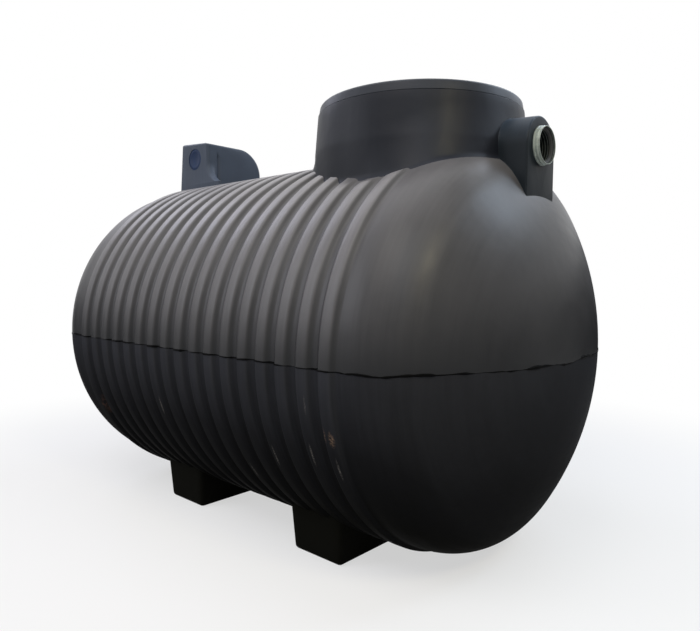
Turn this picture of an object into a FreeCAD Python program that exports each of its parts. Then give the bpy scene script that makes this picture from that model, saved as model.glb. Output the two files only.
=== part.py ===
import FreeCAD, Part
import os
import Sketcher

from FreeCAD import Placement, Rotation, Vector

# Driving dimensions in millimetres, degrees or counts, as the sheet holds them
DIMENSIONS = {
    "barrel_radius": 744,
    "barrel_half_length": 845,
    "dome_depth": 390,
    "dome_knuckle": 250,
    "far_skirt": 45,
    "wall": 9,
    "axis_height": 788,
    "rib_count": 17,
    "rib_pitch": 98,
    "rib_crest": 44,
    "rib_flank": 14,
    "rib_rise": 16,
    "wall_segments": 8,
    "neck_offset": 576,
    "neck_radius": 416,
    "neck_draft": 11,
    "neck_height": 909,
    "neck_shoulder": 6,
    "shoulder_depth": 40,
    "manhole_radius": 320,
    "lid_radius": 402,
    "lid_thickness": 38,
    "lid_draft": 5,
    "lid_bevel": 6,
    "lid_rebate": 4,
    "lid_border": 80,
    "lid_dish": 6,
    "hood_face": 1094,
    "hood_half_width": 105,
    "hood_arch_height": 731,
    "inlet_height": 735,
    "socket_bore": 55.2,
    "socket_radius": 64.5,
    "socket_front": 1117,
    "socket_depth": 90,
    "spigot_radius": 60,
    "seal_width": 10,
    "seal_inset": 9,
    "turret_centre": -769,
    "turret_length": 228,
    "turret_front": -150,
    "turret_back": 212,
    "turret_base": 640,
    "turret_height": 986,
    "turret_fall": 20,
    "turret_draft": 40,
    "turret_edge": 8,
    "turret_corner": 30,
    "turret_crown": 150,
    "web_depth": 58,
    "web_radius": 101,
    "web_height": 867,
    "groove_width": 15,
    "groove_depth": 8,
    "groove_top": 940,
    "pad_radius": 55,
    "pad_height": 897,
    "pad_recess": 4,
    "pad_thickness": 8,
    "foot_centre": 438,
    "foot_length": 248,
    "foot_half_width": 442,
    "foot_draft": 28,
    "foot_corner": 20,
}


class Length:
    """A sheet value with the expression that gives it."""

    def __init__(self, value, text):
        self.value = value
        self.text = text

    def combine(self, other, sign, value_of):
        if not isinstance(other, Length):
            other = Length(other, repr(other))
        return Length(value_of(self.value, other.value), "(%s %s %s)" % (self.text, sign, other.text))

    def __add__(self, other):
        return self.combine(other, "+", lambda a, b: a + b)

    def __sub__(self, other):
        return self.combine(other, "-", lambda a, b: a - b)

    def __mul__(self, other):
        return self.combine(other, "*", lambda a, b: a * b)

    def __truediv__(self, other):
        return self.combine(other, "/", lambda a, b: a / b)

    def __neg__(self):
        return Length(-self.value, "(-1 * %s)" % self.text)


def make_sheet(doc):
    sheet = doc.addObject("Spreadsheet::Sheet", "Sizes")
    for row, (alias, value) in enumerate(DIMENSIONS.items(), start=1):
        sheet.set("A%d" % row, alias.replace("_", " "))
        sheet.set("B%d" % row, str(value))
        sheet.setAlias("B%d" % row, alias)
    doc.recompute()
    return sheet


doc = FreeCAD.newDocument("RainwaterTank")
sheet = make_sheet(doc)
D = {alias: Length(float(sheet.get(alias)), "Sizes." + alias) for alias in DIMENSIONS}
ZERO = Length(0.0, "0")
# An edge counts as lying on a side of a block when it is this near to it
NEAR = 1.0
AXIS_X = Vector(1, 0, 0)
AXIS_Z = Vector(0, 0, 1)


def bind(obj, **lengths):
    """Sets properties and ties them to the sheet."""
    for name, length in lengths.items():
        obj.setExpression(name, length.text)
    return obj


def place(obj, x=ZERO, y=ZERO, z=ZERO, rotation=Rotation()):
    """Puts an object at a point of the sheet."""
    obj.Placement = Placement(Vector(x.value, y.value, z.value), rotation)
    for axis, length in zip("xyz", (x, y, z)):
        obj.setExpression(".Placement.Base." + axis, length.text)
    return obj


def cut(name, base, *tools):
    """Takes one or more tools out of a base."""
    for count, tool in enumerate(tools, start=1):
        result = doc.addObject("Part::Cut", name if count == len(tools) else "%s_cut_%d" % (name, count))
        result.Base = base
        result.Tool = tool
        base = result
    return base


def common(name, base, tool):
    result = doc.addObject("Part::Common", name)
    result.Base = base
    result.Tool = tool
    return result


def revolution(name, profile, axis, angle, **placement):
    """Turns a profile about one of the axes, by an angle of the sheet."""
    turned = doc.addObject("Part::Revolution", name)
    turned.Source = profile
    turned.Axis = axis
    turned.Base = Vector(0, 0, 0)
    turned.Solid = True
    bind(turned, Angle=angle)
    return place(turned, **placement)


def profile_face(name, edges):
    """A closed outline, in the plane where X is the axis and Z the radius."""
    face = doc.addObject("Part::Feature", name)
    face.Shape = Part.Face(Part.Wire(Part.__sortEdges__(edges)))
    return face


def lines(points):
    return [Part.LineSegment(a, b).toShape() for a, b in zip(points, points[1:])]


def ribbed_line(drop):
    """Outer line of the corrugated wall, or the inner one when dropped by the wall."""
    half = D["barrel_half_length"].value
    valley = D["barrel_radius"].value - drop
    crest = valley + D["rib_rise"].value
    half_crest = D["rib_crest"].value / 2
    half_foot = half_crest + D["rib_flank"].value
    count = int(D["rib_count"].value)
    points = [Vector(-half, 0, valley)]
    for index in range(count):
        middle = (index - (count - 1) / 2) * D["rib_pitch"].value
        for offset, radius in (
            (-half_foot, valley),
            (-half_crest, crest),
            (half_crest, crest),
            (half_foot, valley),
        ):
            points.append(Vector(middle + offset, 0, radius))
    points.append(Vector(half, 0, valley))
    return points


def dome_line(drop, skirt):
    """Half section of an end: a plain skirt, a knuckle that leaves it, then a flatter crown to the pole."""
    root = D["barrel_half_length"].value
    start = root + skirt
    depth = D["dome_depth"].value - skirt
    knuckle = D["dome_knuckle"].value
    rise = D["barrel_radius"].value - knuckle
    crown = (depth ** 2 + rise ** 2 - knuckle ** 2) / (2 * (depth - knuckle))
    knuckle_centre = Vector(start, 0, rise)
    crown_centre = Vector(start + depth - crown, 0, 0)
    outward = (knuckle_centre - crown_centre).normalize()
    top = knuckle_centre + AXIS_Z * (knuckle - drop)
    knuckle_middle = knuckle_centre + (outward + AXIS_Z).normalize() * (knuckle - drop)
    meeting = crown_centre + outward * (crown - drop)
    crown_middle = crown_centre + (outward + AXIS_X).normalize() * (crown - drop)
    pole = crown_centre + AXIS_X * (crown - drop)
    arcs = [Part.Arc(top, knuckle_middle, meeting).toShape(), Part.Arc(meeting, crown_middle, pole).toShape()]
    return lines([Vector(root, 0, top.z), top]) + arcs if skirt else arcs


def dome_section(name, skirt):
    """Section of the wall of an end."""
    wall = D["wall"].value
    root = D["barrel_half_length"].value
    radius = D["barrel_radius"].value
    pole = root + D["dome_depth"].value
    pole_line = lines([Vector(pole, 0, 0), Vector(pole - wall, 0, 0)])
    root_line = lines([Vector(root, 0, radius - wall), Vector(root, 0, radius)])
    return profile_face(name, dome_line(0, skirt) + pole_line + dome_line(wall, skirt) + root_line)


def make_profiles():
    """Sections of the walls and of the space that the whole tank takes up."""
    skirt = D["far_skirt"].value
    outer = ribbed_line(0)
    inner = ribbed_line(D["wall"].value)
    barrel = profile_face("barrel_section", lines(outer + inner[::-1] + outer[:1]))
    ends = {
        "inlet_end": dome_section("inlet_end_section", 0),
        "far_end": dome_section("far_end_section", skirt),
    }
    far_line = [edge.mirror(Vector(0, 0, 0), AXIS_X) for edge in dome_line(0, skirt)]
    pole = D["barrel_half_length"].value + D["dome_depth"].value
    axis_line = lines([Vector(-pole, 0, 0), Vector(pole, 0, 0)])
    outside = profile_face("outside_section", far_line + lines(outer) + dome_line(0, 0) + axis_line)
    return barrel, ends, outside


FULL_TURN = Length(360.0, "360")
QUARTER_TURN = Length(90.0, "90")
# Turns the closing edge of a round away from the planes where its neighbours meet
SEAM_ASIDE = Rotation(AXIS_Z, 60)


def make_envelope(outside):
    """The outside of barrel and ends as one solid, which seats what stands on it."""
    return revolution(
        "envelope", outside, AXIS_X, FULL_TURN, z=D["axis_height"], rotation=Rotation(AXIS_X, 180))


def cylinder(name, radius, height, **placement):
    solid = doc.addObject("Part::Cylinder", name)
    bind(solid, Radius=radius, Height=height)
    return place(solid, **placement)


def make_barrel(section, manhole):
    """Corrugated wall in eight strips, four above the seam and four below it."""
    names = (
        "barrel_upper_front", "barrel_crown_front", "barrel_crown_back", "barrel_upper_back",
        "barrel_lower_back", "barrel_keel_back", "barrel_keel_front", "barrel_lower_front",
    )
    step = FULL_TURN / D["wall_segments"]
    strips = []
    for index, name in enumerate(names):
        # The section lies at the crown, and the first strip starts at the front seam
        start = 90 - index * step.value
        turn = Rotation(AXIS_X, start - step.value)
        opened = name.startswith("barrel_crown")
        label = name + "_strip" if opened else name
        strip = revolution(label, section, AXIS_X, step, z=D["axis_height"], rotation=turn)
        strips.append(cut(name, strip, manhole) if opened else strip)
    return strips


def make_ends(sections, manhole):
    """Two domed ends, each in quarters that meet at the seam and the middle."""
    quarters = (("upper_front", 0), ("upper_back", -90), ("lower_back", -180), ("lower_front", -270))
    ends = []
    for end, turn in (("inlet_end", 0), ("far_end", 180)):
        for side, start in quarters:
            name = "%s_%s" % (end, side)
            mirrored_start = start if turn == 0 else -90 - start
            rotation = Rotation(AXIS_Z, turn) * Rotation(AXIS_X, mirrored_start)
            opened = end == "inlet_end" and side.startswith("upper")
            label = name + "_quarter" if opened else name
            quarter = revolution(
                label, sections[end], AXIS_X, QUARTER_TURN, z=D["axis_height"], rotation=rotation)
            ends.append(cut(name, quarter, manhole) if opened else quarter)
    return ends


def sketch_on(body, role, name):
    plane = [item for item in body.Origin.OriginFeatures if item.Role == role][0]
    sketch = body.newObject("Sketcher::SketchObject", name)
    sketch.AttachmentSupport = [(plane, "")]
    sketch.MapMode = "FlatFace"
    return sketch


def draw_outline(sketch, corners):
    """Closed outline of straight sides, every corner tied to the sheet."""
    points = [Vector(across.value, up.value, 0) for across, up in corners]
    count = len(points)
    for index in range(count):
        sketch.addGeometry(Part.LineSegment(points[index], points[(index + 1) % count]), False)
    for index in range(count):
        sketch.addConstraint(Sketcher.Constraint("Coincident", index, 2, (index + 1) % count, 1))
    for index, (across, up) in enumerate(corners):
        for kind, length in (("DistanceX", across), ("DistanceY", up)):
            number = sketch.addConstraint(Sketcher.Constraint(kind, -1, 1, index, 1, length.value))
            sketch.setExpression("Constraints[%d]" % number, length.text)


def revolved_body(name, corners, angle=FULL_TURN, **placement):
    """A body turned about its own upright axis from an outline of radius and height."""
    body = doc.addObject("PartDesign::Body", name)
    sketch = sketch_on(body, "XZ_Plane", name + "_outline")
    draw_outline(sketch, corners)
    turned = body.newObject("PartDesign::Revolution", name + "_turned")
    turned.Profile = sketch
    turned.ReferenceAxis = (sketch, ["V_Axis"])
    bind(turned, Angle=angle)
    return place(body, **placement)


def padded_body(name, corners, length, **placement):
    """A body padded to the front from an upright outline."""
    body = doc.addObject("PartDesign::Body", name)
    sketch = sketch_on(body, "XZ_Plane", name + "_outline")
    draw_outline(sketch, corners)
    pad = body.newObject("PartDesign::Pad", name + "_pad")
    pad.Profile = sketch
    bind(pad, Length=length)
    return place(body, **placement)


def neck_span():
    """Heights above the axis between which the neck's wall is turned."""
    return D["barrel_radius"] - D["neck_radius"] / 2, D["neck_height"] - D["shoulder_depth"]


def make_neck(envelope, passage):
    """Drafted neck wall in quarters, seated on the barrel and open to the inlet hood."""
    low, top = neck_span()
    rim = D["neck_radius"] - D["neck_draft"]
    corners = (
        (D["neck_radius"] - D["wall"], low),
        (D["neck_radius"], low),
        (rim, top),
        (rim - D["wall"], top),
    )
    turned = revolved_body(
        "neck_turned", corners, x=D["neck_offset"], z=D["axis_height"], rotation=SEAM_ASIDE)
    ring = cut("neck_ring", turned, envelope, passage)
    walls = []
    for index, side in enumerate(("inlet_back", "barrel_back", "barrel_front", "inlet_front")):
        quarter = doc.addObject("Part::Box", "neck_quarter_%d" % index)
        bind(quarter, Length=D["barrel_radius"], Width=D["barrel_radius"], Height=D["neck_height"])
        place(quarter, x=D["neck_offset"], z=D["axis_height"], rotation=Rotation(AXIS_Z, 90 * index))
        walls.append(common("neck_" + side, ring, quarter))
    return walls


def make_shoulder():
    """Ring that closes the neck down to the manhole."""
    outer = D["neck_radius"] - D["neck_draft"]
    low = D["neck_height"] - D["shoulder_depth"]
    top = D["neck_height"]
    corners = (
        (outer - D["wall"], low),
        (outer, low),
        (outer, top - D["neck_shoulder"]),
        (outer - D["neck_shoulder"], top),
        (D["manhole_radius"], top),
        (D["manhole_radius"], top - D["wall"]),
        (outer - D["wall"], top - D["wall"] - D["neck_shoulder"]),
    )
    return revolved_body("neck_shoulder", corners, x=D["neck_offset"], z=D["axis_height"])


def make_lid():
    """Lid with a drafted rim, a rebate under its edge and a dished middle."""
    under = D["neck_height"]
    top = under + D["lid_thickness"]
    rim = D["lid_radius"]
    edge = rim - D["lid_draft"]
    border = edge - D["lid_border"]
    corners = (
        (ZERO, under),
        (rim - D["lid_rebate"], under),
        (rim - D["lid_rebate"], under + D["lid_rebate"]),
        (rim, under + D["lid_rebate"]),
        (edge, top - D["lid_bevel"]),
        (edge - D["lid_bevel"], top),
        (border, top),
        (border - D["lid_bevel"], top - D["lid_dish"]),
        (ZERO, top - D["lid_dish"]),
    )
    return revolved_body("access_lid", corners, x=D["neck_offset"], z=D["axis_height"])


def arch_solid(name, half_width, start, end):
    """An upright block with a round top, from one station along the tank to another."""
    box = doc.addObject("Part::Box", name + "_block")
    bind(box, Length=end - start, Width=half_width * 2, Height=D["hood_arch_height"] - D["barrel_radius"] / 2)
    place(box, x=start, y=-half_width, z=D["axis_height"] + D["barrel_radius"] / 2)
    top = cylinder(
        name + "_top", half_width, end - start, x=start, z=D["axis_height"] + D["hood_arch_height"],
        rotation=Rotation(Vector(0, 1, 0), 90))
    arch = doc.addObject("Part::Fuse", name)
    arch.Base = box
    arch.Tool = top
    return arch


def make_inlet(envelope):
    """Arched hood on the inlet end, its front plate, and the pipe socket with its seal."""
    plate_back = D["hood_face"] - D["wall"]
    low, top = neck_span()
    neck_core = doc.addObject("Part::Cone", "neck_core")
    bind(neck_core, Radius1=D["neck_radius"], Radius2=D["neck_radius"] - D["neck_draft"], Height=top - low)
    place(neck_core, x=D["neck_offset"], z=D["axis_height"] + low)
    hood = cut(
        "inlet_hood",
        arch_solid("hood_outside", D["hood_half_width"], D["neck_offset"], plate_back),
        arch_solid("hood_inside", D["hood_half_width"] - D["wall"], D["neck_offset"], plate_back),
        neck_core,
        envelope,
    )
    along = Rotation(Vector(0, 1, 0), 90)
    inlet = D["axis_height"] + D["inlet_height"]
    hole = cylinder("inlet_hole", D["spigot_radius"], D["socket_depth"], x=plate_back - D["wall"], z=inlet,
                    rotation=along)
    plate = cut(
        "inlet_plate",
        arch_solid("plate_blank", D["hood_half_width"], plate_back, D["hood_face"]),
        envelope,
        hole,
    )
    back = D["socket_front"] - D["socket_depth"]
    seal_end = D["socket_depth"] - D["seal_inset"]
    groove = (D["socket_bore"] + D["spigot_radius"]) / 2
    corners = (
        (D["socket_bore"], ZERO),
        (D["spigot_radius"], ZERO),
        (D["spigot_radius"], D["hood_face"] - back),
        (D["socket_radius"], D["hood_face"] - back),
        (D["socket_radius"], D["socket_depth"]),
        (D["socket_bore"], D["socket_depth"]),
        (D["socket_bore"], seal_end),
        (groove, seal_end),
        (groove, seal_end - D["seal_width"]),
        (D["socket_bore"], seal_end - D["seal_width"]),
    )
    socket = revolved_body("inlet_socket", corners, x=back, z=inlet, rotation=along)
    ring = (
        (D["socket_bore"], seal_end - D["seal_width"]),
        (groove, seal_end - D["seal_width"]),
        (groove, seal_end),
        (D["socket_bore"], seal_end),
    )
    seal = revolved_body("inlet_seal", ring, x=back, z=inlet, rotation=along)
    return [hood, plate, socket, seal]


def make_turret(envelope):
    """Raised outlet turret at the far end, rounded to the back, with its blank pipe pad."""
    half = D["turret_length"] / 2
    top = D["turret_height"]
    depth = D["turret_back"] - D["turret_front"]
    corners = (
        (-half - D["turret_draft"], D["turret_base"]),
        (half, D["turret_base"]),
        (half, top - D["turret_fall"]),
        (-half, top),
    )
    block = padded_body(
        "turret_block", corners, depth, x=D["turret_centre"], y=D["turret_back"], z=D["axis_height"])
    body = doc.addObject("Part::Fuse", "turret_body")
    body.Base = block
    body.Tool = make_web()
    doc.recompute()
    rounded = doc.addObject("Part::Fillet", "turret_rounded")
    rounded.Base = body
    rounded.Edges = turret_edges(body.Shape)
    groove = doc.addObject("Part::Box", "turret_groove")
    bind(groove, Length=D["groove_depth"], Width=D["groove_width"], Height=D["groove_top"] - D["turret_base"])
    place(groove, x=D["turret_centre"] + half - D["groove_depth"], y=D["turret_front"] + D["web_depth"],
          z=D["axis_height"] + D["turret_base"])
    inward = Rotation(AXIS_X, -90)
    pad_middle = D["axis_height"] + D["pad_height"]
    pocket = cylinder(
        "turret_pocket", D["pad_radius"], D["pad_recess"] + D["pad_thickness"], x=D["turret_centre"],
        y=D["turret_front"], z=pad_middle, rotation=inward)
    turret = cut("outlet_turret", rounded, groove, pocket, envelope)
    pad = cylinder(
        "outlet_pad", D["pad_radius"], D["pad_thickness"], x=D["turret_centre"],
        y=D["turret_front"] + D["pad_recess"], z=pad_middle, rotation=inward)
    return [turret, pad]


def make_web():
    """Hollowed web that spreads the turret's front towards the barrel."""
    start = D["turret_centre"] + D["turret_length"] / 2
    block = doc.addObject("Part::Box", "web_block")
    bind(block, Length=D["web_radius"], Width=D["web_depth"], Height=D["web_height"] - D["turret_base"])
    place(block, x=start, y=D["turret_front"], z=D["axis_height"] + D["turret_base"])
    hollow = cylinder(
        "web_hollow", D["web_radius"], D["web_depth"], x=start + D["web_radius"], y=D["turret_front"],
        z=D["axis_height"] + D["web_height"], rotation=Rotation(AXIS_X, -90))
    return cut("turret_web", block, hollow)


def turret_edges(shape):
    """Numbers and radii of the edges to round: all round the front, and to the back."""
    rounded = []
    box = shape.BoundBox
    for number, edge in enumerate(shape.Edges, start=1):
        reach = edge.BoundBox
        if reach.ZMax < box.ZMin + NEAR or reach.XMin > box.XMax - NEAR:
            continue
        upright = reach.ZLength > box.ZLength / 2
        if reach.YMax < box.YMin + NEAR:
            radius = D["turret_edge"].value
        elif reach.YMin > box.YMax - NEAR:
            radius = D["turret_corner" if upright else "turret_crown"].value
        else:
            continue
        rounded.append((number, radius, radius))
    return rounded


def make_foot(name, centre, envelope):
    """Drafted saddle foot, wider where it meets the barrel."""
    height = D["axis_height"] - D["barrel_radius"] / 2
    wedge = doc.addObject("Part::Wedge", name + "_block")
    half = D["foot_length"] / 2
    wide = half + D["foot_draft"]
    across = D["foot_half_width"]
    reach = across + D["foot_draft"]
    bind(wedge, Ymin=ZERO, Ymax=height, Xmin=-half, Xmax=half, Zmin=-across, Zmax=across,
         X2min=-wide, X2max=wide, Z2min=-reach, Z2max=reach)
    place(wedge, x=centre, rotation=Rotation(AXIS_X, 90))
    doc.recompute()
    rounded = doc.addObject("Part::Fillet", name + "_rounded")
    rounded.Base = wedge
    radius = D["foot_corner"].value
    rounded.Edges = [
        (number, radius, radius) for number, edge in enumerate(wedge.Shape.Edges, start=1)
        if edge.BoundBox.ZLength > height.value / 2
    ]
    return cut(name, rounded, envelope)


def check_and_write(parts):
    """Stops on any failed object or bad solid, then writes one file for each sub-part."""
    doc.recompute()
    failed = [item.Name for item in doc.Objects if "Invalid" in item.State or "Error" in item.State]
    if failed:
        raise RuntimeError("failed objects: " + ", ".join(failed))
    for part in parts:
        shape = part.Shape
        if shape.isNull() or not shape.isValid() or not shape.Solids:
            raise RuntimeError("bad solid: " + part.Label)
    os.makedirs("parts", exist_ok=True)
    for part in parts:
        shape = part.Shape
        shape.exportStep("parts/%s.step" % part.Label)
        print("%-22s solids %d volume %8.2f l" % (part.Label, len(shape.Solids), shape.Volume / 1e6))


barrel_section, end_sections, outside_section = make_profiles()
envelope = make_envelope(outside_section)
manhole = cylinder(
    "manhole_bore", D["neck_radius"] - D["neck_draft"] - D["wall"], D["neck_height"],
    x=D["neck_offset"], z=D["axis_height"], rotation=SEAM_ASIDE)
passage = cylinder(
    "inlet_passage", D["spigot_radius"], D["hood_face"] - D["neck_offset"], x=D["neck_offset"],
    z=D["axis_height"] + D["inlet_height"], rotation=Rotation(Vector(0, 1, 0), 90))
parts = make_barrel(barrel_section, manhole)
parts += make_ends(end_sections, manhole)
parts += make_neck(envelope, passage)
parts += [make_shoulder(), make_lid()]
parts += make_inlet(envelope)
parts += make_turret(envelope)
parts.append(make_foot("inlet_foot", D["foot_centre"], envelope))
parts.append(make_foot("far_foot", -D["foot_centre"], envelope))
check_and_write(parts)
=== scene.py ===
"""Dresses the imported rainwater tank: moulded shell, neck and lid, inlet, turret, feet and studio."""

from __future__ import annotations

import logging
import math
from dataclasses import dataclass, field
from enum import Enum
from typing import Any, Callable, Iterable, Sequence

import bpy
from mathutils import Matrix, Vector, noise

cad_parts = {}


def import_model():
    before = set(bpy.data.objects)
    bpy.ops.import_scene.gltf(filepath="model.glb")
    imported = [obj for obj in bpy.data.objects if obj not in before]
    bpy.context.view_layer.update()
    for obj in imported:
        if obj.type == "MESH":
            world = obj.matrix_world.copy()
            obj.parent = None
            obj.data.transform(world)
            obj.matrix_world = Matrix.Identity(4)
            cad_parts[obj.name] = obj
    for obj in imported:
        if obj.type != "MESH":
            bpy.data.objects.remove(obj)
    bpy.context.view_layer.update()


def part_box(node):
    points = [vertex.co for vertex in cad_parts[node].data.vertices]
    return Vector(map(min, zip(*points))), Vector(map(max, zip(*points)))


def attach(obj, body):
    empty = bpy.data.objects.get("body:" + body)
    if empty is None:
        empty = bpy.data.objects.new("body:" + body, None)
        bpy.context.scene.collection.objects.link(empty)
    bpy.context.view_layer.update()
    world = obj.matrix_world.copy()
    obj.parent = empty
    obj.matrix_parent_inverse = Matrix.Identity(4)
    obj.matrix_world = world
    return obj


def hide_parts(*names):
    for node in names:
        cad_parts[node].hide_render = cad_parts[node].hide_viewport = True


LOG = logging.getLogger("rainwater_tank")
BODY = "root"
MM = 0.001
CLOSE = 0.02 * MM
HOLE_STEPS = 144
FULL_TURN = 2 * math.pi
HALF_TURN = math.pi
AXIS_X = Vector((1, 0, 0))
AXIS_Y = Vector((0, 1, 0))
AXIS_Z = Vector((0, 0, 1))
SIDES = ("front", "back")

Point = tuple[float, float]


class Slot(Enum):
    """Material slots of the record."""

    SHELL = "shell"
    LID = "lid"
    SOCKET = "socket"
    SEAL = "seal"


class Half(Enum):
    """The two mouldings that meet at the seam."""

    UPPER = "upper"
    LOWER = "lower"


class Skin(Enum):
    """Moulded skins of the tank, each with the name of its material."""

    # Most skins are one polyethylene, painted lighter or darker for the light and shade on each part
    DUST_AND_SKYLIGHT = "sun_greyed_moulded_polyethylene"
    SKY_TINTED = "washed_moulded_polyethylene"
    SKY_REFLECTING = "scraped_moulded_polyethylene"
    NECK_IN_SHADE = "clean_moulded_polyethylene"
    HOODED = "moulded_hood_polyethylene"
    LIDDED = "moulded_lid_polyethylene"
    BLACK = "black_moulded_polyethylene"
    SHADED = "shaded_moulded_polyethylene"
    FLASH = "rough_seam_flash"


def linear(colour: str) -> tuple[float, float, float, float]:
    """Turn an sRGB hex colour into linear RGBA.

    Args:
        colour: Six hex digits after a hash sign.

    Returns:
        Linear red, green, blue and an alpha of one.
    """
    channels = [int(colour[start:start + 2], 16) / 255 for start in (1, 3, 5)]
    red, green, blue = (
        value / 12.92 if value <= 0.04045 else ((value + 0.055) / 1.055) ** 2.4 for value in channels)
    return red, green, blue, 1.0


def per_metre(millimetres: float) -> float:
    """Scale of a pattern whose features are this many millimetres wide."""
    return 1 / (millimetres * MM)


def add_node(tree: bpy.types.NodeTree, kind: str, inputs: dict[Any, Any] | None = None,
             **settings: Any) -> bpy.types.Node:
    """Add one shader node with its settings and links.

    Args:
        tree: Node tree that gets the node.
        kind: Node type, such as ShaderNodeMath.
        inputs: Values or sockets, by input name or number.
        settings: Fields of the node.

    Returns:
        The new node.
    """
    new = tree.nodes.new(kind)
    for name, value in settings.items():
        setattr(new, name, value)
    for key, value in (inputs or {}).items():
        if isinstance(value, bpy.types.NodeSocket):
            tree.links.new(value, new.inputs[key])
        else:
            new.inputs[key].default_value = value
    return new


def deselect_everything() -> None:
    """Leave edit mode, and leave no object selected."""
    if bpy.context.mode != "OBJECT":
        bpy.ops.object.mode_set(mode="OBJECT")
    bpy.ops.object.select_all(action="DESELECT")


def take(piece: bpy.types.Object) -> bpy.types.Object:
    """Make a piece the only one selected, and active.

    Args:
        piece: The piece.

    Returns:
        The same piece.
    """
    deselect_everything()
    piece.select_set(True)
    bpy.context.view_layer.objects.active = piece
    return piece


def name_new(name: str) -> bpy.types.Object:
    """Name the primitive just added, and put its place into its mesh.

    Args:
        name: Name of object and mesh.

    Returns:
        The primitive.
    """
    piece = bpy.context.object
    piece.name = name
    piece.data.name = name
    bpy.ops.object.transform_apply(location=True, rotation=True, scale=True)
    return piece


def draw_line(name: str, points: Sequence[Vector]) -> bpy.types.Object:
    """Draw a line by extruding one vertex from point to point.

    Args:
        name: Name of the piece.
        points: Corners of the line. It is closed if the last is the first.

    Returns:
        A mesh object of edges only.
    """
    deselect_everything()
    bpy.ops.mesh.primitive_plane_add(size=MM, location=points[0])
    piece = name_new(name)
    bpy.ops.object.mode_set(mode="EDIT")
    bpy.ops.mesh.select_mode(type="VERT")
    bpy.ops.mesh.select_all(action="SELECT")
    bpy.ops.mesh.merge(type="CENTER")
    for start, end in zip(points, points[1:]):
        bpy.ops.mesh.extrude_vertices_move(TRANSFORM_OT_translate={"value": end - start})
    bpy.ops.mesh.select_all(action="SELECT")
    bpy.ops.mesh.remove_doubles(threshold=CLOSE)
    bpy.ops.object.mode_set(mode="OBJECT")
    return piece


def start_picking(piece: bpy.types.Object, mode: str) -> None:
    """Clear the selection of a piece in one of the edit modes, and leave edit mode.

    Args:
        piece: The piece.
        mode: VERT or EDGE.
    """
    take(piece)
    bpy.ops.object.mode_set(mode="EDIT")
    bpy.ops.mesh.select_mode(type=mode)
    bpy.ops.mesh.select_all(action="DESELECT")
    bpy.ops.object.mode_set(mode="OBJECT")


def pick_vertices(piece: bpy.types.Object, test: Callable[[Vector], bool]) -> None:
    """Select the vertices that pass a test, and enter edit mode.

    Args:
        piece: The piece.
        test: Tells from a vertex's place whether it is picked.
    """
    start_picking(piece, "VERT")
    for vertex in piece.data.vertices:
        vertex.select = test(vertex.co)
    bpy.ops.object.mode_set(mode="EDIT")


def pick_edges(piece: bpy.types.Object, test: Callable[[Vector, Vector], bool]) -> None:
    """Select the edges that pass a test, and enter edit mode.

    Args:
        piece: The piece.
        test: Tells from the places of an edge's two ends whether it is picked.
    """
    start_picking(piece, "EDGE")
    vertices = piece.data.vertices
    for edge in piece.data.edges:
        first, second = (vertices[number].co for number in edge.vertices)
        edge.select = test(first, second)
    bpy.ops.object.mode_set(mode="EDIT")


def edit_all(piece: bpy.types.Object) -> None:
    """Enter edit mode with all of a piece selected.

    Args:
        piece: The piece.
    """
    take(piece)
    bpy.ops.object.mode_set(mode="EDIT")
    bpy.ops.mesh.select_all(action="SELECT")


def round_picked(size: float, segments: int, affect: str) -> None:
    """Bevel the vertices or edges that are picked, and leave edit mode.

    Args:
        size: How far from the corner the round starts.
        segments: Straight runs of the round.
        affect: VERTICES or EDGES.
    """
    bpy.ops.mesh.bevel(offset=size, segments=segments, affect=affect)
    bpy.ops.object.mode_set(mode="OBJECT")


def close_up(piece: bpy.types.Object) -> None:
    """Merge doubled vertices and turn the faces outwards.

    Args:
        piece: The closed piece.
    """
    edit_all(piece)
    bpy.ops.mesh.remove_doubles(threshold=CLOSE)
    bpy.ops.mesh.normals_make_consistent(inside=False)
    bpy.ops.object.mode_set(mode="OBJECT")


def spin(piece: bpy.types.Object, centre: Vector, axis: Vector, angle: float, steps: int) -> None:
    """Turn a drawn line about an axis into a surface.

    Args:
        piece: The line.
        centre: A point on the axis.
        axis: Direction of the axis.
        angle: How far it turns.
        steps: Number of faces round the turn.
    """
    edit_all(piece)
    bpy.ops.mesh.spin(steps=steps, angle=angle, center=centre, axis=axis)
    bpy.ops.object.mode_set(mode="OBJECT")
    close_up(piece)


def prism(name: str, outline: Sequence[Vector], steps: Sequence[Vector]) -> bpy.types.Object:
    """Fill an outline and extrude it, step by step, into a closed block.

    Args:
        name: Name of the piece.
        outline: Corners of the flat outline.
        steps: One extrusion after the other.

    Returns:
        The block.
    """
    piece = draw_line(name, [*outline, outline[0]])
    edit_all(piece)
    bpy.ops.mesh.edge_face_add()
    for step in steps:
        bpy.ops.mesh.extrude_region_move(TRANSFORM_OT_translate={"value": step})
    bpy.ops.object.mode_set(mode="OBJECT")
    close_up(piece)
    return piece


def reshape(piece: bpy.types.Object, move: Callable[[Vector], Vector]) -> None:
    """Move every vertex of a piece.

    Args:
        piece: The piece.
        move: Gives the new place for an old one.
    """
    for vertex in piece.data.vertices:
        vertex.co = move(vertex.co.copy())
    piece.data.update()


def modify(piece: bpy.types.Object, kind: str, **settings: Any) -> None:
    """Add a modifier with its settings and apply it.

    Args:
        piece: The piece.
        kind: Modifier type, such as SOLIDIFY.
        settings: Fields of the modifier.
    """
    take(piece)
    modifier = piece.modifiers.new(kind.title(), kind)
    for name, value in settings.items():
        setattr(modifier, name, value)
    bpy.ops.object.modifier_apply(modifier=modifier.name)


def subtract(piece: bpy.types.Object, cutter: bpy.types.Object) -> None:
    """Cut one closed piece out of another, and delete the cutter.

    Args:
        piece: The piece that is cut.
        cutter: The piece that is taken away.
    """
    modify(piece, "BOOLEAN", operation="DIFFERENCE", solver="EXACT", object=cutter)
    take(cutter)
    bpy.ops.object.delete()


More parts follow.
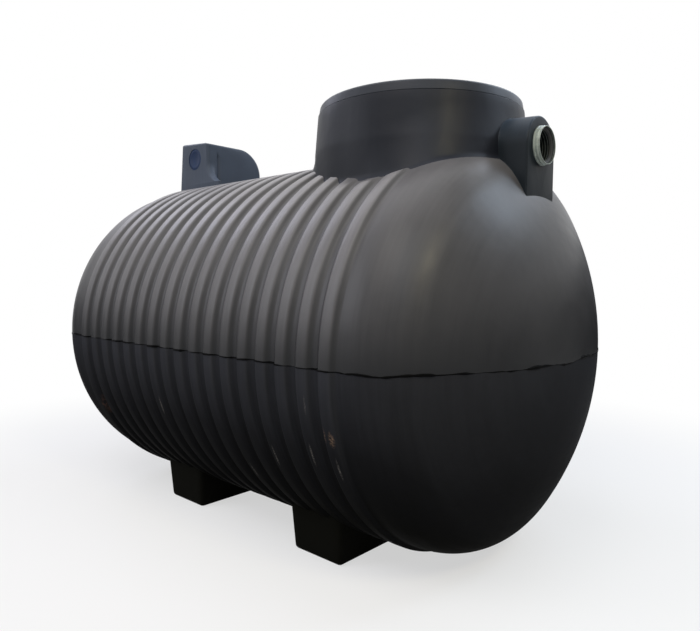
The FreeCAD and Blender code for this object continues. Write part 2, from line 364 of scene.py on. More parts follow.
def drill(piece: bpy.types.Object, centre: Vector, axis: Vector, radius: float, depth: float) -> None:
    """Cut a round hole through a closed piece.

    Args:
        piece: The piece.
        centre: Middle of the hole.
        axis: Direction of the hole.
        radius: Radius of the hole.
        depth: Whole length of the cutter.
    """
    deselect_everything()
    turn = axis.to_track_quat("Z", "Y").to_euler()
    bpy.ops.mesh.primitive_cylinder_add(
        vertices=HOLE_STEPS, radius=radius, depth=depth, location=centre, rotation=turn)
    subtract(piece, name_new(piece.name + "_cutter"))


def smooth(piece: bpy.types.Object, degrees: float = 40) -> None:
    """Shade smooth, apart from edges sharper than an angle."""
    take(piece)
    bpy.ops.object.shade_smooth_by_angle(angle=math.radians(degrees))


def arc_points(centre: Point, radius: float, start: float, end: float, steps: int) -> list[Point]:
    """Points of an arc in a plane, both ends included.

    Args:
        centre: Centre of the arc.
        radius: Radius of the arc.
        start: First angle, in degrees.
        end: Last angle, in degrees.
        steps: Number of straight runs.

    Returns:
        The points from the first angle to the last.
    """
    angles = [math.radians(start + (end - start) * step / steps) for step in range(steps + 1)]
    x, y = centre
    return [(x + radius * math.cos(angle), y + radius * math.sin(angle)) for angle in angles]


def fillet(distance: float, radius: float) -> float:
    """How far a round fillet stands off a wall at a distance from the surface it runs into."""
    gap = radius - min(max(distance, 0.0), radius)
    return radius - math.sqrt(radius ** 2 - gap ** 2)


def smooth_step(value: float, start: float, end: float) -> float:
    """Rise smoothly from nothing at the start to one at the end."""
    share = min(max((value - start) / (end - start), 0.0), 1.0)
    return share * share * (3 - 2 * share)


def seen_rays(tree: bpy.types.NodeTree) -> bpy.types.NodeSocket:
    """Tell rays that show the background from rays that light the tank.

    Args:
        tree: Node tree of the floor or the world.

    Returns:
        One for rays of the camera, of reflections and through clear things, nothing for the rest.
    """
    path = add_node(tree, "ShaderNodeLightPath")
    mirrored = add_node(tree, "ShaderNodeMath", {
        0: path.outputs["Is Camera Ray"], 1: path.outputs["Is Glossy Ray"]}, operation="MAXIMUM")
    return add_node(tree, "ShaderNodeMath", {
        0: mirrored.outputs[0], 1: path.outputs["Is Transmission Ray"]}, operation="MAXIMUM").outputs[0]


def distance_from_axis(tree: bpy.types.NodeTree, coords: bpy.types.NodeSocket, height: float
                       ) -> bpy.types.NodeSocket:
    """Measure how far the surface lies from a lengthwise axis.

    Args:
        tree: Node tree of the material.
        coords: Object coordinates.
        height: Height of the axis, which runs along X over the middle.

    Returns:
        The distance in metres.
    """
    moved = add_node(tree, "ShaderNodeVectorMath", {0: coords, 1: (0.0, 0.0, height)}, operation="SUBTRACT")
    across = add_node(tree, "ShaderNodeVectorMath", {0: moved.outputs[0], 1: (0.0, 1.0, 1.0)},
                      operation="MULTIPLY")
    length = add_node(tree, "ShaderNodeVectorMath", {0: across.outputs[0]}, operation="LENGTH")
    return length.outputs["Value"]


def hand_over(piece: bpy.types.Object, material: bpy.types.Material,
              nodes: Iterable[str] = ()) -> bpy.types.Object:
    """Dress a finished piece, let it ride, and say what it stands for.

    Args:
        piece: The finished piece.
        material: Finish of the piece.
        nodes: CAD nodes that it replaces.

    Returns:
        The same piece.
    """
    piece.data.materials.clear()
    piece.data.materials.append(material)
    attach(piece, BODY)
    nodes = list(nodes)
    if nodes:
        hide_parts(*nodes)
    LOG.info("%s: %d faces, for %s", piece.name, len(piece.data.polygons), ", ".join(nodes) or "itself")
    return piece


def new_material(name: str) -> tuple[bpy.types.Material, bpy.types.NodeTree, bpy.types.Node]:
    """Make a node material.

    Args:
        name: Name of the material.

    Returns:
        The material, its node tree and its main shader.
    """
    material = bpy.data.materials.new(name)
    material.use_nodes = True
    return material, material.node_tree, material.node_tree.nodes["Principled BSDF"]


@dataclass(frozen=True)
class Mark:
    """A scuff or a patch of dried mud at one place of the surface."""

    place: tuple[float, float, float]
    half_width: float
    half_length: float
    colour: str
    strength: float
    grain: float = 9.0
    core: float = 0.25
    speckle_span: Point = (0.42, 0.62)

    def mask(self, tree: bpy.types.NodeTree, coords: bpy.types.NodeSocket, axis_height: float
             ) -> bpy.types.NodeSocket:
        """Make the patchy mask of the mark.

        Args:
            tree: Node tree of the material.
            coords: Object coordinates.
            axis_height: Height of the tank's axis, round which the mark is drawn out.

        Returns:
            A value from nothing to the strength of the mark.
        """
        x, y, z = (value * MM for value in self.place)
        lean = math.atan2(z - axis_height, -y)
        local = add_node(tree, "ShaderNodeMapping", {
            "Vector": coords,
            "Location": (x, y, z),
            "Rotation": (-lean, 0, 0),
            "Scale": (self.half_width * MM, self.half_length * MM, self.half_length * MM),
        }, vector_type="TEXTURE")
        far = add_node(tree, "ShaderNodeVectorMath", {0: local.outputs[0]}, operation="LENGTH")
        near = add_node(tree, "ShaderNodeMapRange", {
            "Value": far.outputs["Value"], "From Min": 1.0, "From Max": self.core, "To Max": self.strength})
        speckle = add_node(tree, "ShaderNodeTexNoise", {
            "Vector": coords, "Scale": per_metre(self.grain), "Detail": 4.0, "Roughness": 0.7})
        bare, full = self.speckle_span
        patchy = add_node(tree, "ShaderNodeMapRange", {
            "Value": speckle.outputs[0], "From Min": bare, "From Max": full})
        return add_node(tree, "ShaderNodeMath", {0: near.outputs[0], 1: patchy.outputs[0]},
                        operation="MULTIPLY").outputs[0]


@dataclass(frozen=True)
class MouldedPolyethylene:
    """Polyethylene melted on the inside of a turning mould: waxy, slightly wavy, never quite even."""

    name: str
    body: str
    # The bloom colour stands for dust and for painted light, and its stops make it heavier on what looks up
    dust_and_light: str
    dust_and_light_stops: tuple[Point, ...]
    roughness: float
    specular: float
    # Share of the bloom left in the grooves and on the ends, which paints shade in the grooves
    share_in_shaded_grooves: float = 1.0
    barrel_radius: float = 1.0
    axis_height: float = 0.0
    marks: tuple[Mark, ...] = ()
    # How far above the grooves the painted groove shade ends, and the painted lighter crests start
    groove_end: float = 9 * MM
    crest_start: float = 15 * MM
    # Sizes of the patterns, in millimetres
    cloud_size: float = 230
    run_width: float = 16
    run_length: float = 380
    ripple_size: float = 120
    peel_size: float = 5
    # What clouds and runs add up to, and how far they change cover and roughness
    patch_span: Point = (0.7, 1.3)
    cover_span: Point = (0.84, 1.16)
    gloss_span: Point = (-0.05, 0.06)
    ripple_depth: float = 5 * MM
    ripple_strength: float = 0.4
    peel_depth: float = 0.4 * MM
    peel_strength: float = 0.25
    ior: float = 1.51

    def bloom(self, tree: bpy.types.NodeTree) -> bpy.types.NodeSocket:
        """Spread the bloom, dust and painted light together, by how far the surface looks up.

        Args:
            tree: Node tree of the material.

        Returns:
            The share of the surface that the bloom covers.
        """
        facing = add_node(tree, "ShaderNodeSeparateXYZ", {
            0: add_node(tree, "ShaderNodeNewGeometry").outputs["Normal"]})
        share = add_node(tree, "ShaderNodeMapRange", {"Value": facing.outputs["Z"], "From Min": -1.0})
        ramp = add_node(tree, "ShaderNodeValToRGB", {0: share.outputs[0]})
        stops = ramp.color_ramp.elements
        stops.remove(stops[1])
        for index, (lift, cover) in enumerate(self.dust_and_light_stops):
            stop = stops.new((lift + 1) / 2) if index else stops[0]
            stop.position = (lift + 1) / 2
            stop.color = (cover, cover, cover, 1.0)
        return ramp.outputs["Color"]

    def make(self) -> bpy.types.Material:
        """Build the node material.

        Returns:
            The material.
        """
        material, tree, shader = new_material(self.name)
        coords = add_node(tree, "ShaderNodeTexCoord").outputs["Object"]
        # Painted light and shade: the crests of the ribs are greyer than the darker grooves and the domed
        # ends
        lit_crests_shaded_grooves = add_node(tree, "ShaderNodeMapRange", {
            "Value": distance_from_axis(tree, coords, self.axis_height),
            "From Min": self.barrel_radius + self.groove_end,
            "From Max": self.barrel_radius + self.crest_start,
            "To Min": self.share_in_shaded_grooves, "To Max": 1.0})
        # The bloom, dust and painted light together, is heavier on what looks up, and lies in clouds a hand
        # or two across
        clouds = add_node(tree, "ShaderNodeTexNoise", {
            "Vector": coords, "Scale": per_metre(self.cloud_size), "Detail": 5.0, "Roughness": 0.6})
        # Rain has washed fine runs down the ribs
        drawn_out = per_metre(self.run_length)
        stretched = add_node(tree, "ShaderNodeMapping", {
            "Vector": coords, "Scale": (per_metre(self.run_width), drawn_out, drawn_out)})
        runs = add_node(tree, "ShaderNodeTexNoise", {
            "Vector": stretched.outputs[0], "Scale": 1.0, "Detail": 3.0, "Roughness": 0.6})
        both = add_node(tree, "ShaderNodeMath", {0: clouds.outputs[0], 1: runs.outputs[0]}, operation="ADD")
        thin, thick = self.patch_span
        uneven = add_node(tree, "ShaderNodeMapRange", {
            "Value": both.outputs[0], "From Min": thin, "From Max": thick,
            "To Min": self.cover_span[0], "To Max": self.cover_span[1]})
        dust_and_light_by_facing = add_node(tree, "ShaderNodeMath", {0: self.bloom(tree), 1: lit_crests_shaded_grooves.outputs[0]},
                           operation="MULTIPLY")
        dust_and_light = add_node(tree, "ShaderNodeMath", {0: dust_and_light_by_facing.outputs[0], 1: uneven.outputs[0]},
                        operation="MULTIPLY", use_clamp=True)
        colour = add_node(tree, "ShaderNodeMix", {
            "Factor": dust_and_light.outputs[0], "A": linear(self.body), "B": linear(self.dust_and_light)}, data_type="RGBA")
        shade = colour.outputs["Result"]
        for mark in self.marks:
            mask = mark.mask(tree, coords, self.axis_height)
            shade = add_node(tree, "ShaderNodeMix", {
                "Factor": mask, "A": shade, "B": linear(mark.colour)}, data_type="RGBA").outputs["Result"]
        dull = add_node(tree, "ShaderNodeMapRange", {
            "Value": both.outputs[0], "From Min": thin, "From Max": thick,
            "To Min": self.roughness + self.gloss_span[0], "To Max": self.roughness + self.gloss_span[1]})
        # The wall ripples a little over a hand's width, and its skin is faintly pitted like peel,
        # drawn coarser than a real skin so that it shows
        ripple = add_node(tree, "ShaderNodeTexNoise", {
            "Vector": coords, "Scale": per_metre(self.ripple_size), "Detail": 2.0})
        peel = add_node(tree, "ShaderNodeTexNoise", {
            "Vector": coords, "Scale": per_metre(self.peel_size), "Detail": 2.0})
        wavy = add_node(tree, "ShaderNodeBump", {
            "Height": ripple.outputs[0], "Strength": self.ripple_strength, "Distance": self.ripple_depth})
        skin = add_node(tree, "ShaderNodeBump", {
            "Height": peel.outputs[0], "Normal": wavy.outputs[0],
            "Strength": self.peel_strength, "Distance": self.peel_depth})
        tree.links.new(shade, shader.inputs["Base Color"])
        tree.links.new(dull.outputs[0], shader.inputs["Roughness"])
        tree.links.new(skin.outputs[0], shader.inputs["Normal"])
        shader.inputs["Specular IOR Level"].default_value = self.specular
        shader.inputs["IOR"].default_value = self.ior
        return material


@dataclass(frozen=True)
class PipePlastic:
    """Extruded and moulded grey pipe plastic: light, smooth, a little soiled in its grooves, with painted
    shade in its bore.
    """

    bore_height: float
    mouth: float
    name: str = "moulded_grey_pipe_plastic"
    clean: str = "#939b94"
    soiled: str = "#626962"
    painted_bore_shade: str = "#090a0c"
    # Sizes of the patterns, in millimetres
    ring_spacing: float = 10
    soil_size: float = 24
    grain_size: float = 3
    # Where the clouds of soil start and end, and how much they cover
    soil_span: Point = (0.4, 0.7)
    soil_cover: float = 0.8
    # How far inside the mouth the painted shade of the bore starts and is full, how much it covers, and how
    # much the painted ring highlights leave of it
    painted_bore_shade_edge: Point = (0.2 * MM, 0.6 * MM)
    painted_bore_shade_cover: float = 0.98
    ring_highlights_span: Point = (0.8, 0.97)
    ring_highlights_cover: float = 0.55
    cloud_span: Point = (0.3, 0.7)
    gloss_span: Point = (0.3, 0.5)
    shine_span: Point = (0.5, 0.02)
    grain_depth: float = 0.3 * MM
    grain_strength: float = 0.15
    ior: float = 1.53

    def make(self) -> bpy.types.Material:
        """Build the node material.

        Returns:
            The material.
        """
        material, tree, shader = new_material(self.name)
        coords = add_node(tree, "ShaderNodeTexCoord").outputs["Object"]
        clouds = add_node(tree, "ShaderNodeTexNoise", {
            "Vector": coords, "Scale": per_metre(self.soil_size), "Detail": 5.0, "Roughness": 0.65})
        soil = add_node(tree, "ShaderNodeMapRange", {
            "Value": clouds.outputs[0], "From Min": self.soil_span[0], "From Max": self.soil_span[1],
            "To Max": self.soil_cover})
        colour = add_node(tree, "ShaderNodeMix", {
            "Factor": soil.outputs[0], "A": linear(self.clean), "B": linear(self.soiled)}, data_type="RGBA")
        # Painted shade darkens the inside of the bore, and painted highlights lighten it in fine rings
        # along the bore
        place = add_node(tree, "ShaderNodeSeparateXYZ", {0: coords})
        inside = add_node(tree, "ShaderNodeMapRange", {
            "Value": distance_from_axis(tree, coords, self.bore_height),
            "From Min": self.mouth - self.painted_bore_shade_edge[0], "From Max": self.mouth - self.painted_bore_shade_edge[1],
            "To Max": self.painted_bore_shade_cover})
        turns = add_node(tree, "ShaderNodeMath", {
            0: place.outputs["X"], 1: FULL_TURN * per_metre(self.ring_spacing)}, operation="MULTIPLY")
        waves = add_node(tree, "ShaderNodeMath", {0: turns.outputs[0]}, operation="SINE")
        ring_highlights = add_node(tree, "ShaderNodeMapRange", {
            "Value": waves.outputs[0], "From Min": self.ring_highlights_span[0], "From Max": self.ring_highlights_span[1],
            "To Min": 1.0, "To Max": self.ring_highlights_cover})
        painted_bore_shade = add_node(tree, "ShaderNodeMath", {0: inside.outputs[0], 1: ring_highlights.outputs[0]},
                        operation="MULTIPLY")
        colour = add_node(tree, "ShaderNodeMix", {
            "Factor": painted_bore_shade.outputs[0], "A": colour.outputs["Result"], "B": linear(self.painted_bore_shade)},
            data_type="RGBA")
        dull = add_node(tree, "ShaderNodeMapRange", {
            "Value": clouds.outputs[0], "From Min": self.cloud_span[0], "From Max": self.cloud_span[1],
            "To Min": self.gloss_span[0], "To Max": self.gloss_span[1]})
        grain = add_node(tree, "ShaderNodeTexNoise", {
            "Vector": coords, "Scale": per_metre(self.grain_size), "Detail": 2.0})
        skin = add_node(tree, "ShaderNodeBump", {
            "Height": grain.outputs[0], "Strength": self.grain_strength, "Distance": self.grain_depth})
        tree.links.new(colour.outputs["Result"], shader.inputs["Base Color"])
        tree.links.new(dull.outputs[0], shader.inputs["Roughness"])
        tree.links.new(skin.outputs[0], shader.inputs["Normal"])
        # Where the painted shade covers the plastic, it hardly shines
        sheen = add_node(tree, "ShaderNodeMapRange", {
            "Value": painted_bore_shade.outputs[0], "To Min": self.shine_span[0], "To Max": self.shine_span[1]})
        tree.links.new(sheen.outputs[0], shader.inputs["Specular IOR Level"])
        shader.inputs["IOR"].default_value = self.ior
        return material


@dataclass(frozen=True)
class SealRubber:
    """Black moulded rubber: matt, with a faint grey bloom."""

    name: str = "moulded_black_rubber"
    body: str = "#171717"
    bloom: str = "#323333"
    # Size of the clouds of bloom, in millimetres
    bloom_size: float = 14
    cloud_span: Point = (0.3, 0.7)
    gloss_span: Point = (0.6, 0.8)

    def make(self) -> bpy.types.Material:
        """Build the node material.

        Returns:
            The material.
        """
        material, tree, shader = new_material(self.name)
        coords = add_node(tree, "ShaderNodeTexCoord").outputs["Object"]
        clouds = add_node(tree, "ShaderNodeTexNoise", {
            "Vector": coords, "Scale": per_metre(self.bloom_size), "Detail": 4.0})
        colour = add_node(tree, "ShaderNodeMix", {
            "Factor": clouds.outputs[0], "A": linear(self.body), "B": linear(self.bloom)}, data_type="RGBA")
        dull = add_node(tree, "ShaderNodeMapRange", {
            "Value": clouds.outputs[0], "From Min": self.cloud_span[0], "From Max": self.cloud_span[1],
            "To Min": self.gloss_span[0], "To Max": self.gloss_span[1]})
        tree.links.new(colour.outputs["Result"], shader.inputs["Base Color"])
        tree.links.new(dull.outputs[0], shader.inputs["Roughness"])
        return material


@dataclass(frozen=True)
class DomedEnd:
    """Half section of an end: a plain skirt, a round knuckle, then a flatter crown to the pole."""

    start: float
    pole: float
    radius: float
    knuckle: float = 250 * MM

    @property
    def rise(self) -> float:
        """Height of the knuckle's centre above the axis."""
        return self.radius - self.knuckle

    @property
    def crown(self) -> float:
        """Radius of the flatter middle."""
        depth = self.pole - self.start
        return (depth ** 2 + self.rise ** 2 - self.knuckle ** 2) / (2 * (depth - self.knuckle))

    @property
    def crown_centre(self) -> float:
        """Place of the crown's centre along the axis."""
        return self.pole - self.crown

    @property
    def meeting_angle(self) -> float:
        """Angle from the axis, in degrees, where knuckle and crown meet."""
        return math.degrees(math.atan2(self.rise, self.start - self.crown_centre))

    def radius_at(self, along: float) -> float:
        """Find the radius of the wall.

        Args:
            along: Distance from the middle of the tank.

        Returns:
            The outer radius there.
        """
        if along <= self.start:
            return self.radius
        meeting = self.start + self.knuckle * math.cos(math.radians(self.meeting_angle))
        if along <= meeting:
            return self.rise + math.sqrt(self.knuckle ** 2 - (along - self.start) ** 2)
        return math.sqrt(max(self.crown ** 2 - (along - self.crown_centre) ** 2, 0.0))

    def section(self, knuckle_steps: int = 22, crown_steps: int = 40) -> list[Point]:
        """Draw the end as a row of points.

        Args:
            knuckle_steps: Straight runs of the knuckle.
            crown_steps: Straight runs of the crown.

        Returns:
            Distance and radius of each point, from the knuckle to the pole.
        """
        knuckle = arc_points((self.start, self.rise), self.knuckle, 90, self.meeting_angle, knuckle_steps)
        crown = arc_points((self.crown_centre, 0.0), self.crown, self.meeting_angle, 0, crown_steps)
        return knuckle + crown[1:]


@dataclass
class TankForm:
    """Section of barrel and ends, on which every other piece is seated."""

    half_length: float
    valley: float
    crest: float
    axis_height: float
    inlet_end: DomedEnd
    far_end: DomedEnd
    rib_count: int = 17
    rib_pitch: float = 98 * MM
    rib_crest: float = 44 * MM
    rib_flank: float = 14 * MM
    # How far the seam strays on ribs and ends, and over what length of it, in metres
    rib_stray: float = 3 * MM
    end_stray: float = 9 * MM
    slow_wave: float = 0.19
    quick_wave: float = 0.05
    quick_share: float = 0.5

    @classmethod
    def from_frame(cls, far_skirt: float = 45 * MM) -> "TankForm":
        """Read the main sizes from the CAD nodes.

        Args:
            far_skirt: Length of the plain skirt before the far end's knuckle.

        Returns:
            The form.
        """
        wall_low, wall_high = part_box("barrel_upper_front")
        far_low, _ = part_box("far_end_upper_back")
        _, end_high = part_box("inlet_end_upper_back")
        half_length = wall_high.x
        valley = end_high.y
        inlet_end = DomedEnd(half_length, end_high.x, valley)
        far_end = DomedEnd(half_length + far_skirt, -far_low.x, valley)
        return cls(half_length, valley, -wall_low.y, wall_low.z, inlet_end, far_end)

    @property
    def sunk(self) -> float:
        """A height well inside the tank, from which pieces on top of it rise."""
        return self.axis_height + self.inlet_end.rise

    def radius_at(self, station: float) -> float:
        """Radius of the plain wall at a place along the axis."""
        end = self.inlet_end if station > 0 else self.far_end
        return end.radius_at(abs(station))

    def top_at(self, station: float, across: float) -> float:
        """Height of the plain wall above a point of the floor."""
        return self.axis_height + math.sqrt(max(self.radius_at(station) ** 2 - across ** 2, 0.0))

    def rib_section(self) -> list[Point]:
        """Draw the ribs as a row of points.

        Returns:
            Station and radius of each corner, from the far end to the inlet end.
        """
        corners = []
        half_crest = self.rib_crest / 2
        half_foot = half_crest + self.rib_flank
        for index in range(self.rib_count):
            middle = (index - (self.rib_count - 1) / 2) * self.rib_pitch
            corners += [
                (middle - half_foot, self.valley),
                (middle - half_crest, self.crest),
                (middle + half_crest, self.crest),
                (middle + half_foot, self.valley),
            ]
        return corners

    def section(self) -> list[Point]:
        """Station and radius of the whole outside, from pole to pole."""
        far = [(-along, radius) for along, radius in reversed(self.far_end.section())]
        return far + self.rib_section() + self.inlet_end.section()

    def section_line(self, name: str, rib_round: float = 6 * MM) -> bpy.types.Object:
        """Draw the section in the front seam and round the corners of its ribs.

        Args:
            name: Name of the line.
            rib_round: How far from its corner a rib starts to round.

        Returns:
            The line.
        """
        line = draw_line(name, [Vector((x, -radius, self.axis_height)) for x, radius in self.section()])
        reach = self.rib_pitch * self.rib_count / 2
        pick_vertices(line, lambda place: abs(place.x) < reach)
        round_picked(rib_round, 3, "VERTICES")
        return line

    def seam_drift(self, place: Vector, fade: float = 45 * MM) -> float:
        """Work out how far a point near the seam strays with it, more on the ends than on the ribs.

        Args:
            place: The point.
            fade: Height above or below the seam over which the straying dies away.

        Returns:
            The way up or down.
        """
        spread = self.end_stray if abs(place.x) > self.half_length else self.rib_stray
        slow = noise.noise(Vector((place.x, place.y, 0.0)) / self.slow_wave)
        quick = noise.noise(Vector((place.x, place.y, 1.0)) / self.quick_wave)
        nearness = math.exp(-((place.z - self.axis_height) / fade) ** 2)
        return spread * (slow + self.quick_share * quick) * nearness


@dataclass
class TankShell:
    """The two moulded halves that meet at the seam, with ribs and domed ends."""

    form: TankForm
    neck_centre: Vector
    neck_radius: float
    wall: float = 9 * MM
    turn_steps: int = 90
    sink_reach: float = 75 * MM
    sunk_reach: float = 15 * MM
    sink_start: float = -80 * MM
    sink_end: float = 120 * MM

    def sunk_rib(self, place: Vector) -> Vector:
        """Let the last ribs sink into the plain wall where they come close to the neck.

        Args:
            place: A point of the outside.

        Returns:
            The point, lowered if it lies on a rib beside the neck.
        """
        away = (place.xy - self.neck_centre.xy).length - self.neck_radius
        if place.z < self.form.sunk or away > self.sink_reach:
            return place
        outward = Vector((0, place.y, place.z - self.form.axis_height))
        above = outward.length - self.form.radius_at(place.x)
        near_end = smooth_step(place.x - self.neck_centre.x, self.sink_start, self.sink_end)
        share = near_end * (1 - smooth_step(away, self.sunk_reach, self.sink_reach))
        return place - outward.normalized() * max(above, 0.0) * share

    def half(self, name: str, axis: Vector) -> bpy.types.Object:
        """Turn the section over the crown or under the keel, and let its seam edge stray.

        Args:
            name: Name of the piece.
            axis: Direction that the section turns about.

        Returns:
            The half, with its wall.
        """
        form = self.form
        piece = form.section_line(name)
        spin(piece, Vector((0, 0, form.axis_height)), axis, HALF_TURN, self.turn_steps)

        def stray(place: Vector) -> Vector:
            """Move a vertex up or down with the seam, and ease the ribs beside the neck."""
            place.z += form.seam_drift(place)
            return self.sunk_rib(place)

        reshape(piece, stray)
        modify(piece, "SOLIDIFY", thickness=self.wall, offset=-1)
        return piece

    def nodes(self, half: Half) -> list[str]:
        """List the CAD nodes of one half.

        Args:
            half: The half.

        Returns:
            Their names.
        """
        middle = "crown" if half is Half.UPPER else "keel"
        barrel = [f"barrel_{row}_{side}" for row in (half.value, middle) for side in SIDES]
        ends = [f"{end}_{half.value}_{side}" for end in ("inlet_end", "far_end") for side in SIDES]
        return barrel + ends

    def dress(self, manhole_radius: float, upper_finish: bpy.types.Material,
              lower_finish: bpy.types.Material) -> None:
        """Make and dress both halves.

        Args:
            manhole_radius: Radius of the opening under the neck.
            upper_finish: Finish above the seam.
            lower_finish: Finish below the seam.
        """
        upper = self.half("upper_shell", AXIS_X)
        over = Vector((self.neck_centre.x, self.neck_centre.y, self.form.axis_height + self.form.crest))
        drill(upper, over, AXIS_Z, manhole_radius, self.form.crest)
        lower = self.half("lower_shell", -AXIS_X)
        for piece, finish, half in ((upper, upper_finish, Half.UPPER), (lower, lower_finish, Half.LOWER)):
            smooth(piece)
            hand_over(piece, finish, self.nodes(half))


@dataclass
class SeamBead:
    """Rough bead of flash along the seam, thick here and thin there."""

    form: TankForm
    thickness: float = 3.4 * MM
    end_thickness: float = 4.4 * MM
    # Length of its lumps, in metres, and how they change its thickness
    slow_lump: float = 0.07
    quick_lump: float = 0.018
    quick_share: float = 0.6
    plain: float = 0.6
    swell: float = 0.9
    thinnest: float = 0.12
    thickest: float = 1.3

    def build(self) -> bpy.types.Object:
        """Run a bead of uneven thickness round the whole seam.

        Returns:
            The bead.
        """
        form = self.form
        line = form.section_line("seam_bead")
        edit_all(line)
        bpy.ops.mesh.duplicate()
        bpy.ops.transform.mirror(constraint_axis=(False, True, False), center_override=(0, 0, 0))
        bpy.ops.mesh.select_all(action="SELECT")
        bpy.ops.mesh.remove_doubles(threshold=CLOSE)
        bpy.ops.object.mode_set(mode="OBJECT")
        bpy.ops.object.convert(target="CURVE")
        curve = bpy.context.object
        # The bevel is one metre, and each point's radius brings it down to the bead's thickness
        curve.data.bevel_depth = 1.0
        curve.data.bevel_resolution = 2
        for point in curve.data.splines[0].points:
            place = point.co.to_3d()
            slow = noise.noise(place / self.slow_lump)
            rough = slow + self.quick_share * noise.noise(place / self.quick_lump)
            thickness = self.end_thickness if abs(place.x) > form.half_length else self.thickness
            share = min(max(self.plain + self.swell * rough, self.thinnest), self.thickest)
            point.radius = thickness * share
            point.co.z += form.seam_drift(place)
        bpy.ops.object.convert(target="MESH")
        piece = bpy.context.object
        close_up(piece)
        smooth(piece, degrees=60)
        return piece


@dataclass(frozen=True)
class Flare:
    """A wall that stands out at its foot and comes back to the straight above it."""

    out: float
    up: float
    curve: float

    def at(self, above: float) -> float:
        """How far the wall stands out at a height above its foot."""
        return self.out * max(1 - above / self.up, 0.0) ** self.curve


@dataclass
class Neck:
    """Drafted neck that flares onto ribs and dome, with a round shoulder and a lip for the lid."""

    form: TankForm
    centre: Vector
    top_radius: float
    top: float
    draft: float = 12 * MM
    drafted_height: float = 150 * MM
    root: Flare = Flare(10 * MM, 22 * MM, 2.0)
    gusset: Flare = Flare(30 * MM, 72 * MM, 1.2)
    saddle: Flare = Flare(40 * MM, 200 * MM, 1.8)
    # Where gusset and saddle stand round the neck, as cosines of the direction
    gusset_span: Point = (0.63, 0.88)
    saddle_middle: float = 0.6
    saddle_spread: float = 0.3
    sink: float = 2 * MM
    rim_height: float = 30 * MM
    shoulder: float = 1.5 * MM
    wall: float = 9 * MM
    lip: float = 320 * MM
    passage_depth: float = 150 * MM
    shoulder_steps: int = 4
    turn_steps: int = 144
    rows: int = 28

    @classmethod
    def from_frame(cls, form: TankForm) -> "Neck":
        """Read place and size from the CAD nodes.

        Args:
            form: Form of the tank under the neck.

        Returns:
            The neck.
        """
        low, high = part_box("neck_shoulder")
        middle = (low + high) / 2
        return cls(form, Vector((middle.x, middle.y, 0)), (high.x - low.x) / 2, high.z)

    @property
    def radius(self) -> float:
        """Outer radius at the root."""
        return self.top_radius + self.draft

    @property
    def inner(self) -> float:
        """Inner radius of the wall."""
        return self.top_radius - self.wall

    def radius_at(self, height: float) -> float:
        """Outer radius of the drafted wall at a height."""
        return self.top_radius + self.draft * min((self.top - height) / self.drafted_height, 1.0)

    def spread(self, towards_inlet: float, above: float) -> float:
        """How far the wall stands out near its foot, as a gusset on the ribs and wider on the dome.

        Args:
            towards_inlet: Cosine of the direction seen from the neck's axis, 1 at the inlet.
            above: Height above the foot.

        Returns:
            Distance from the straight wall.
        """
        gusset = smooth_step(-towards_inlet, *self.gusset_span)
        saddle = math.exp(-((towards_inlet - self.saddle_middle) / self.saddle_spread) ** 2)
        return self.root.at(above) + gusset * self.gusset.at(above) + saddle * self.saddle.at(above)

    def build(self, passage: Vector, passage_radius: float) -> bpy.types.Object:
        """Spin the section, set its wall on the tank below, and open it to the hood.

        Args:
            passage: A point in the middle of the passage, inside the wall.
            passage_radius: Radius of the passage.

        Returns:
            The neck.
        """
        base = self.form.sunk
        outside = [(self.radius, base + row * MM) for row in range(self.rows + 1)]
        round_centre = (self.top_radius - self.shoulder, self.top - self.shoulder)
        rim = arc_points(round_centre, self.shoulder, 0, 90, self.shoulder_steps)
        inside = [
            (self.lip, self.top),
            (self.lip, self.top - self.wall),
            (self.inner, self.top - self.wall),
            (self.inner, base),
        ]
        section = outside + rim + inside + outside[:1]
        corners = [Vector((self.centre.x + radius, self.centre.y, z)) for radius, z in section]
        piece = draw_line("neck", corners)
        spin(piece, self.centre, AXIS_Z, FULL_TURN, self.turn_steps)

        def seat(place: Vector) -> Vector:
            """Set a vertex of the wall between the tank below it and the rim, in even rows.

            Args:
                place: Its place on the spun ring.

            Returns:
                Its place on the seated neck.
            """
            row = (place.z - base) / MM
            if row > self.rows + 0.5:
                return place
            outward = Vector((place.x - self.centre.x, place.y - self.centre.y, 0))
            if outward.length < self.inner + MM:
                place.z = self.form.top_at(place.x, place.y) - self.sink
                return place
            outward.normalize()
            below = self.centre + outward * (self.radius + self.spread(outward.x, 0.0))
            foot = self.form.top_at(below.x, below.y) - self.sink
            height = foot + (self.top - self.rim_height - foot) * row / self.rows
            place = self.centre + outward * (self.radius_at(height) + self.spread(outward.x, height - foot))
            place.z = height
            return place

        reshape(piece, seat)
        drill(piece, passage, AXIS_X, passage_radius, self.passage_depth)
        smooth(piece)
        return piece

    def nodes(self) -> list[str]:
        """CAD nodes of the neck."""
        quarters = [f"neck_{end}_{side}" for end in ("inlet", "barrel") for side in SIDES]
        return quarters + ["neck_shoulder"]


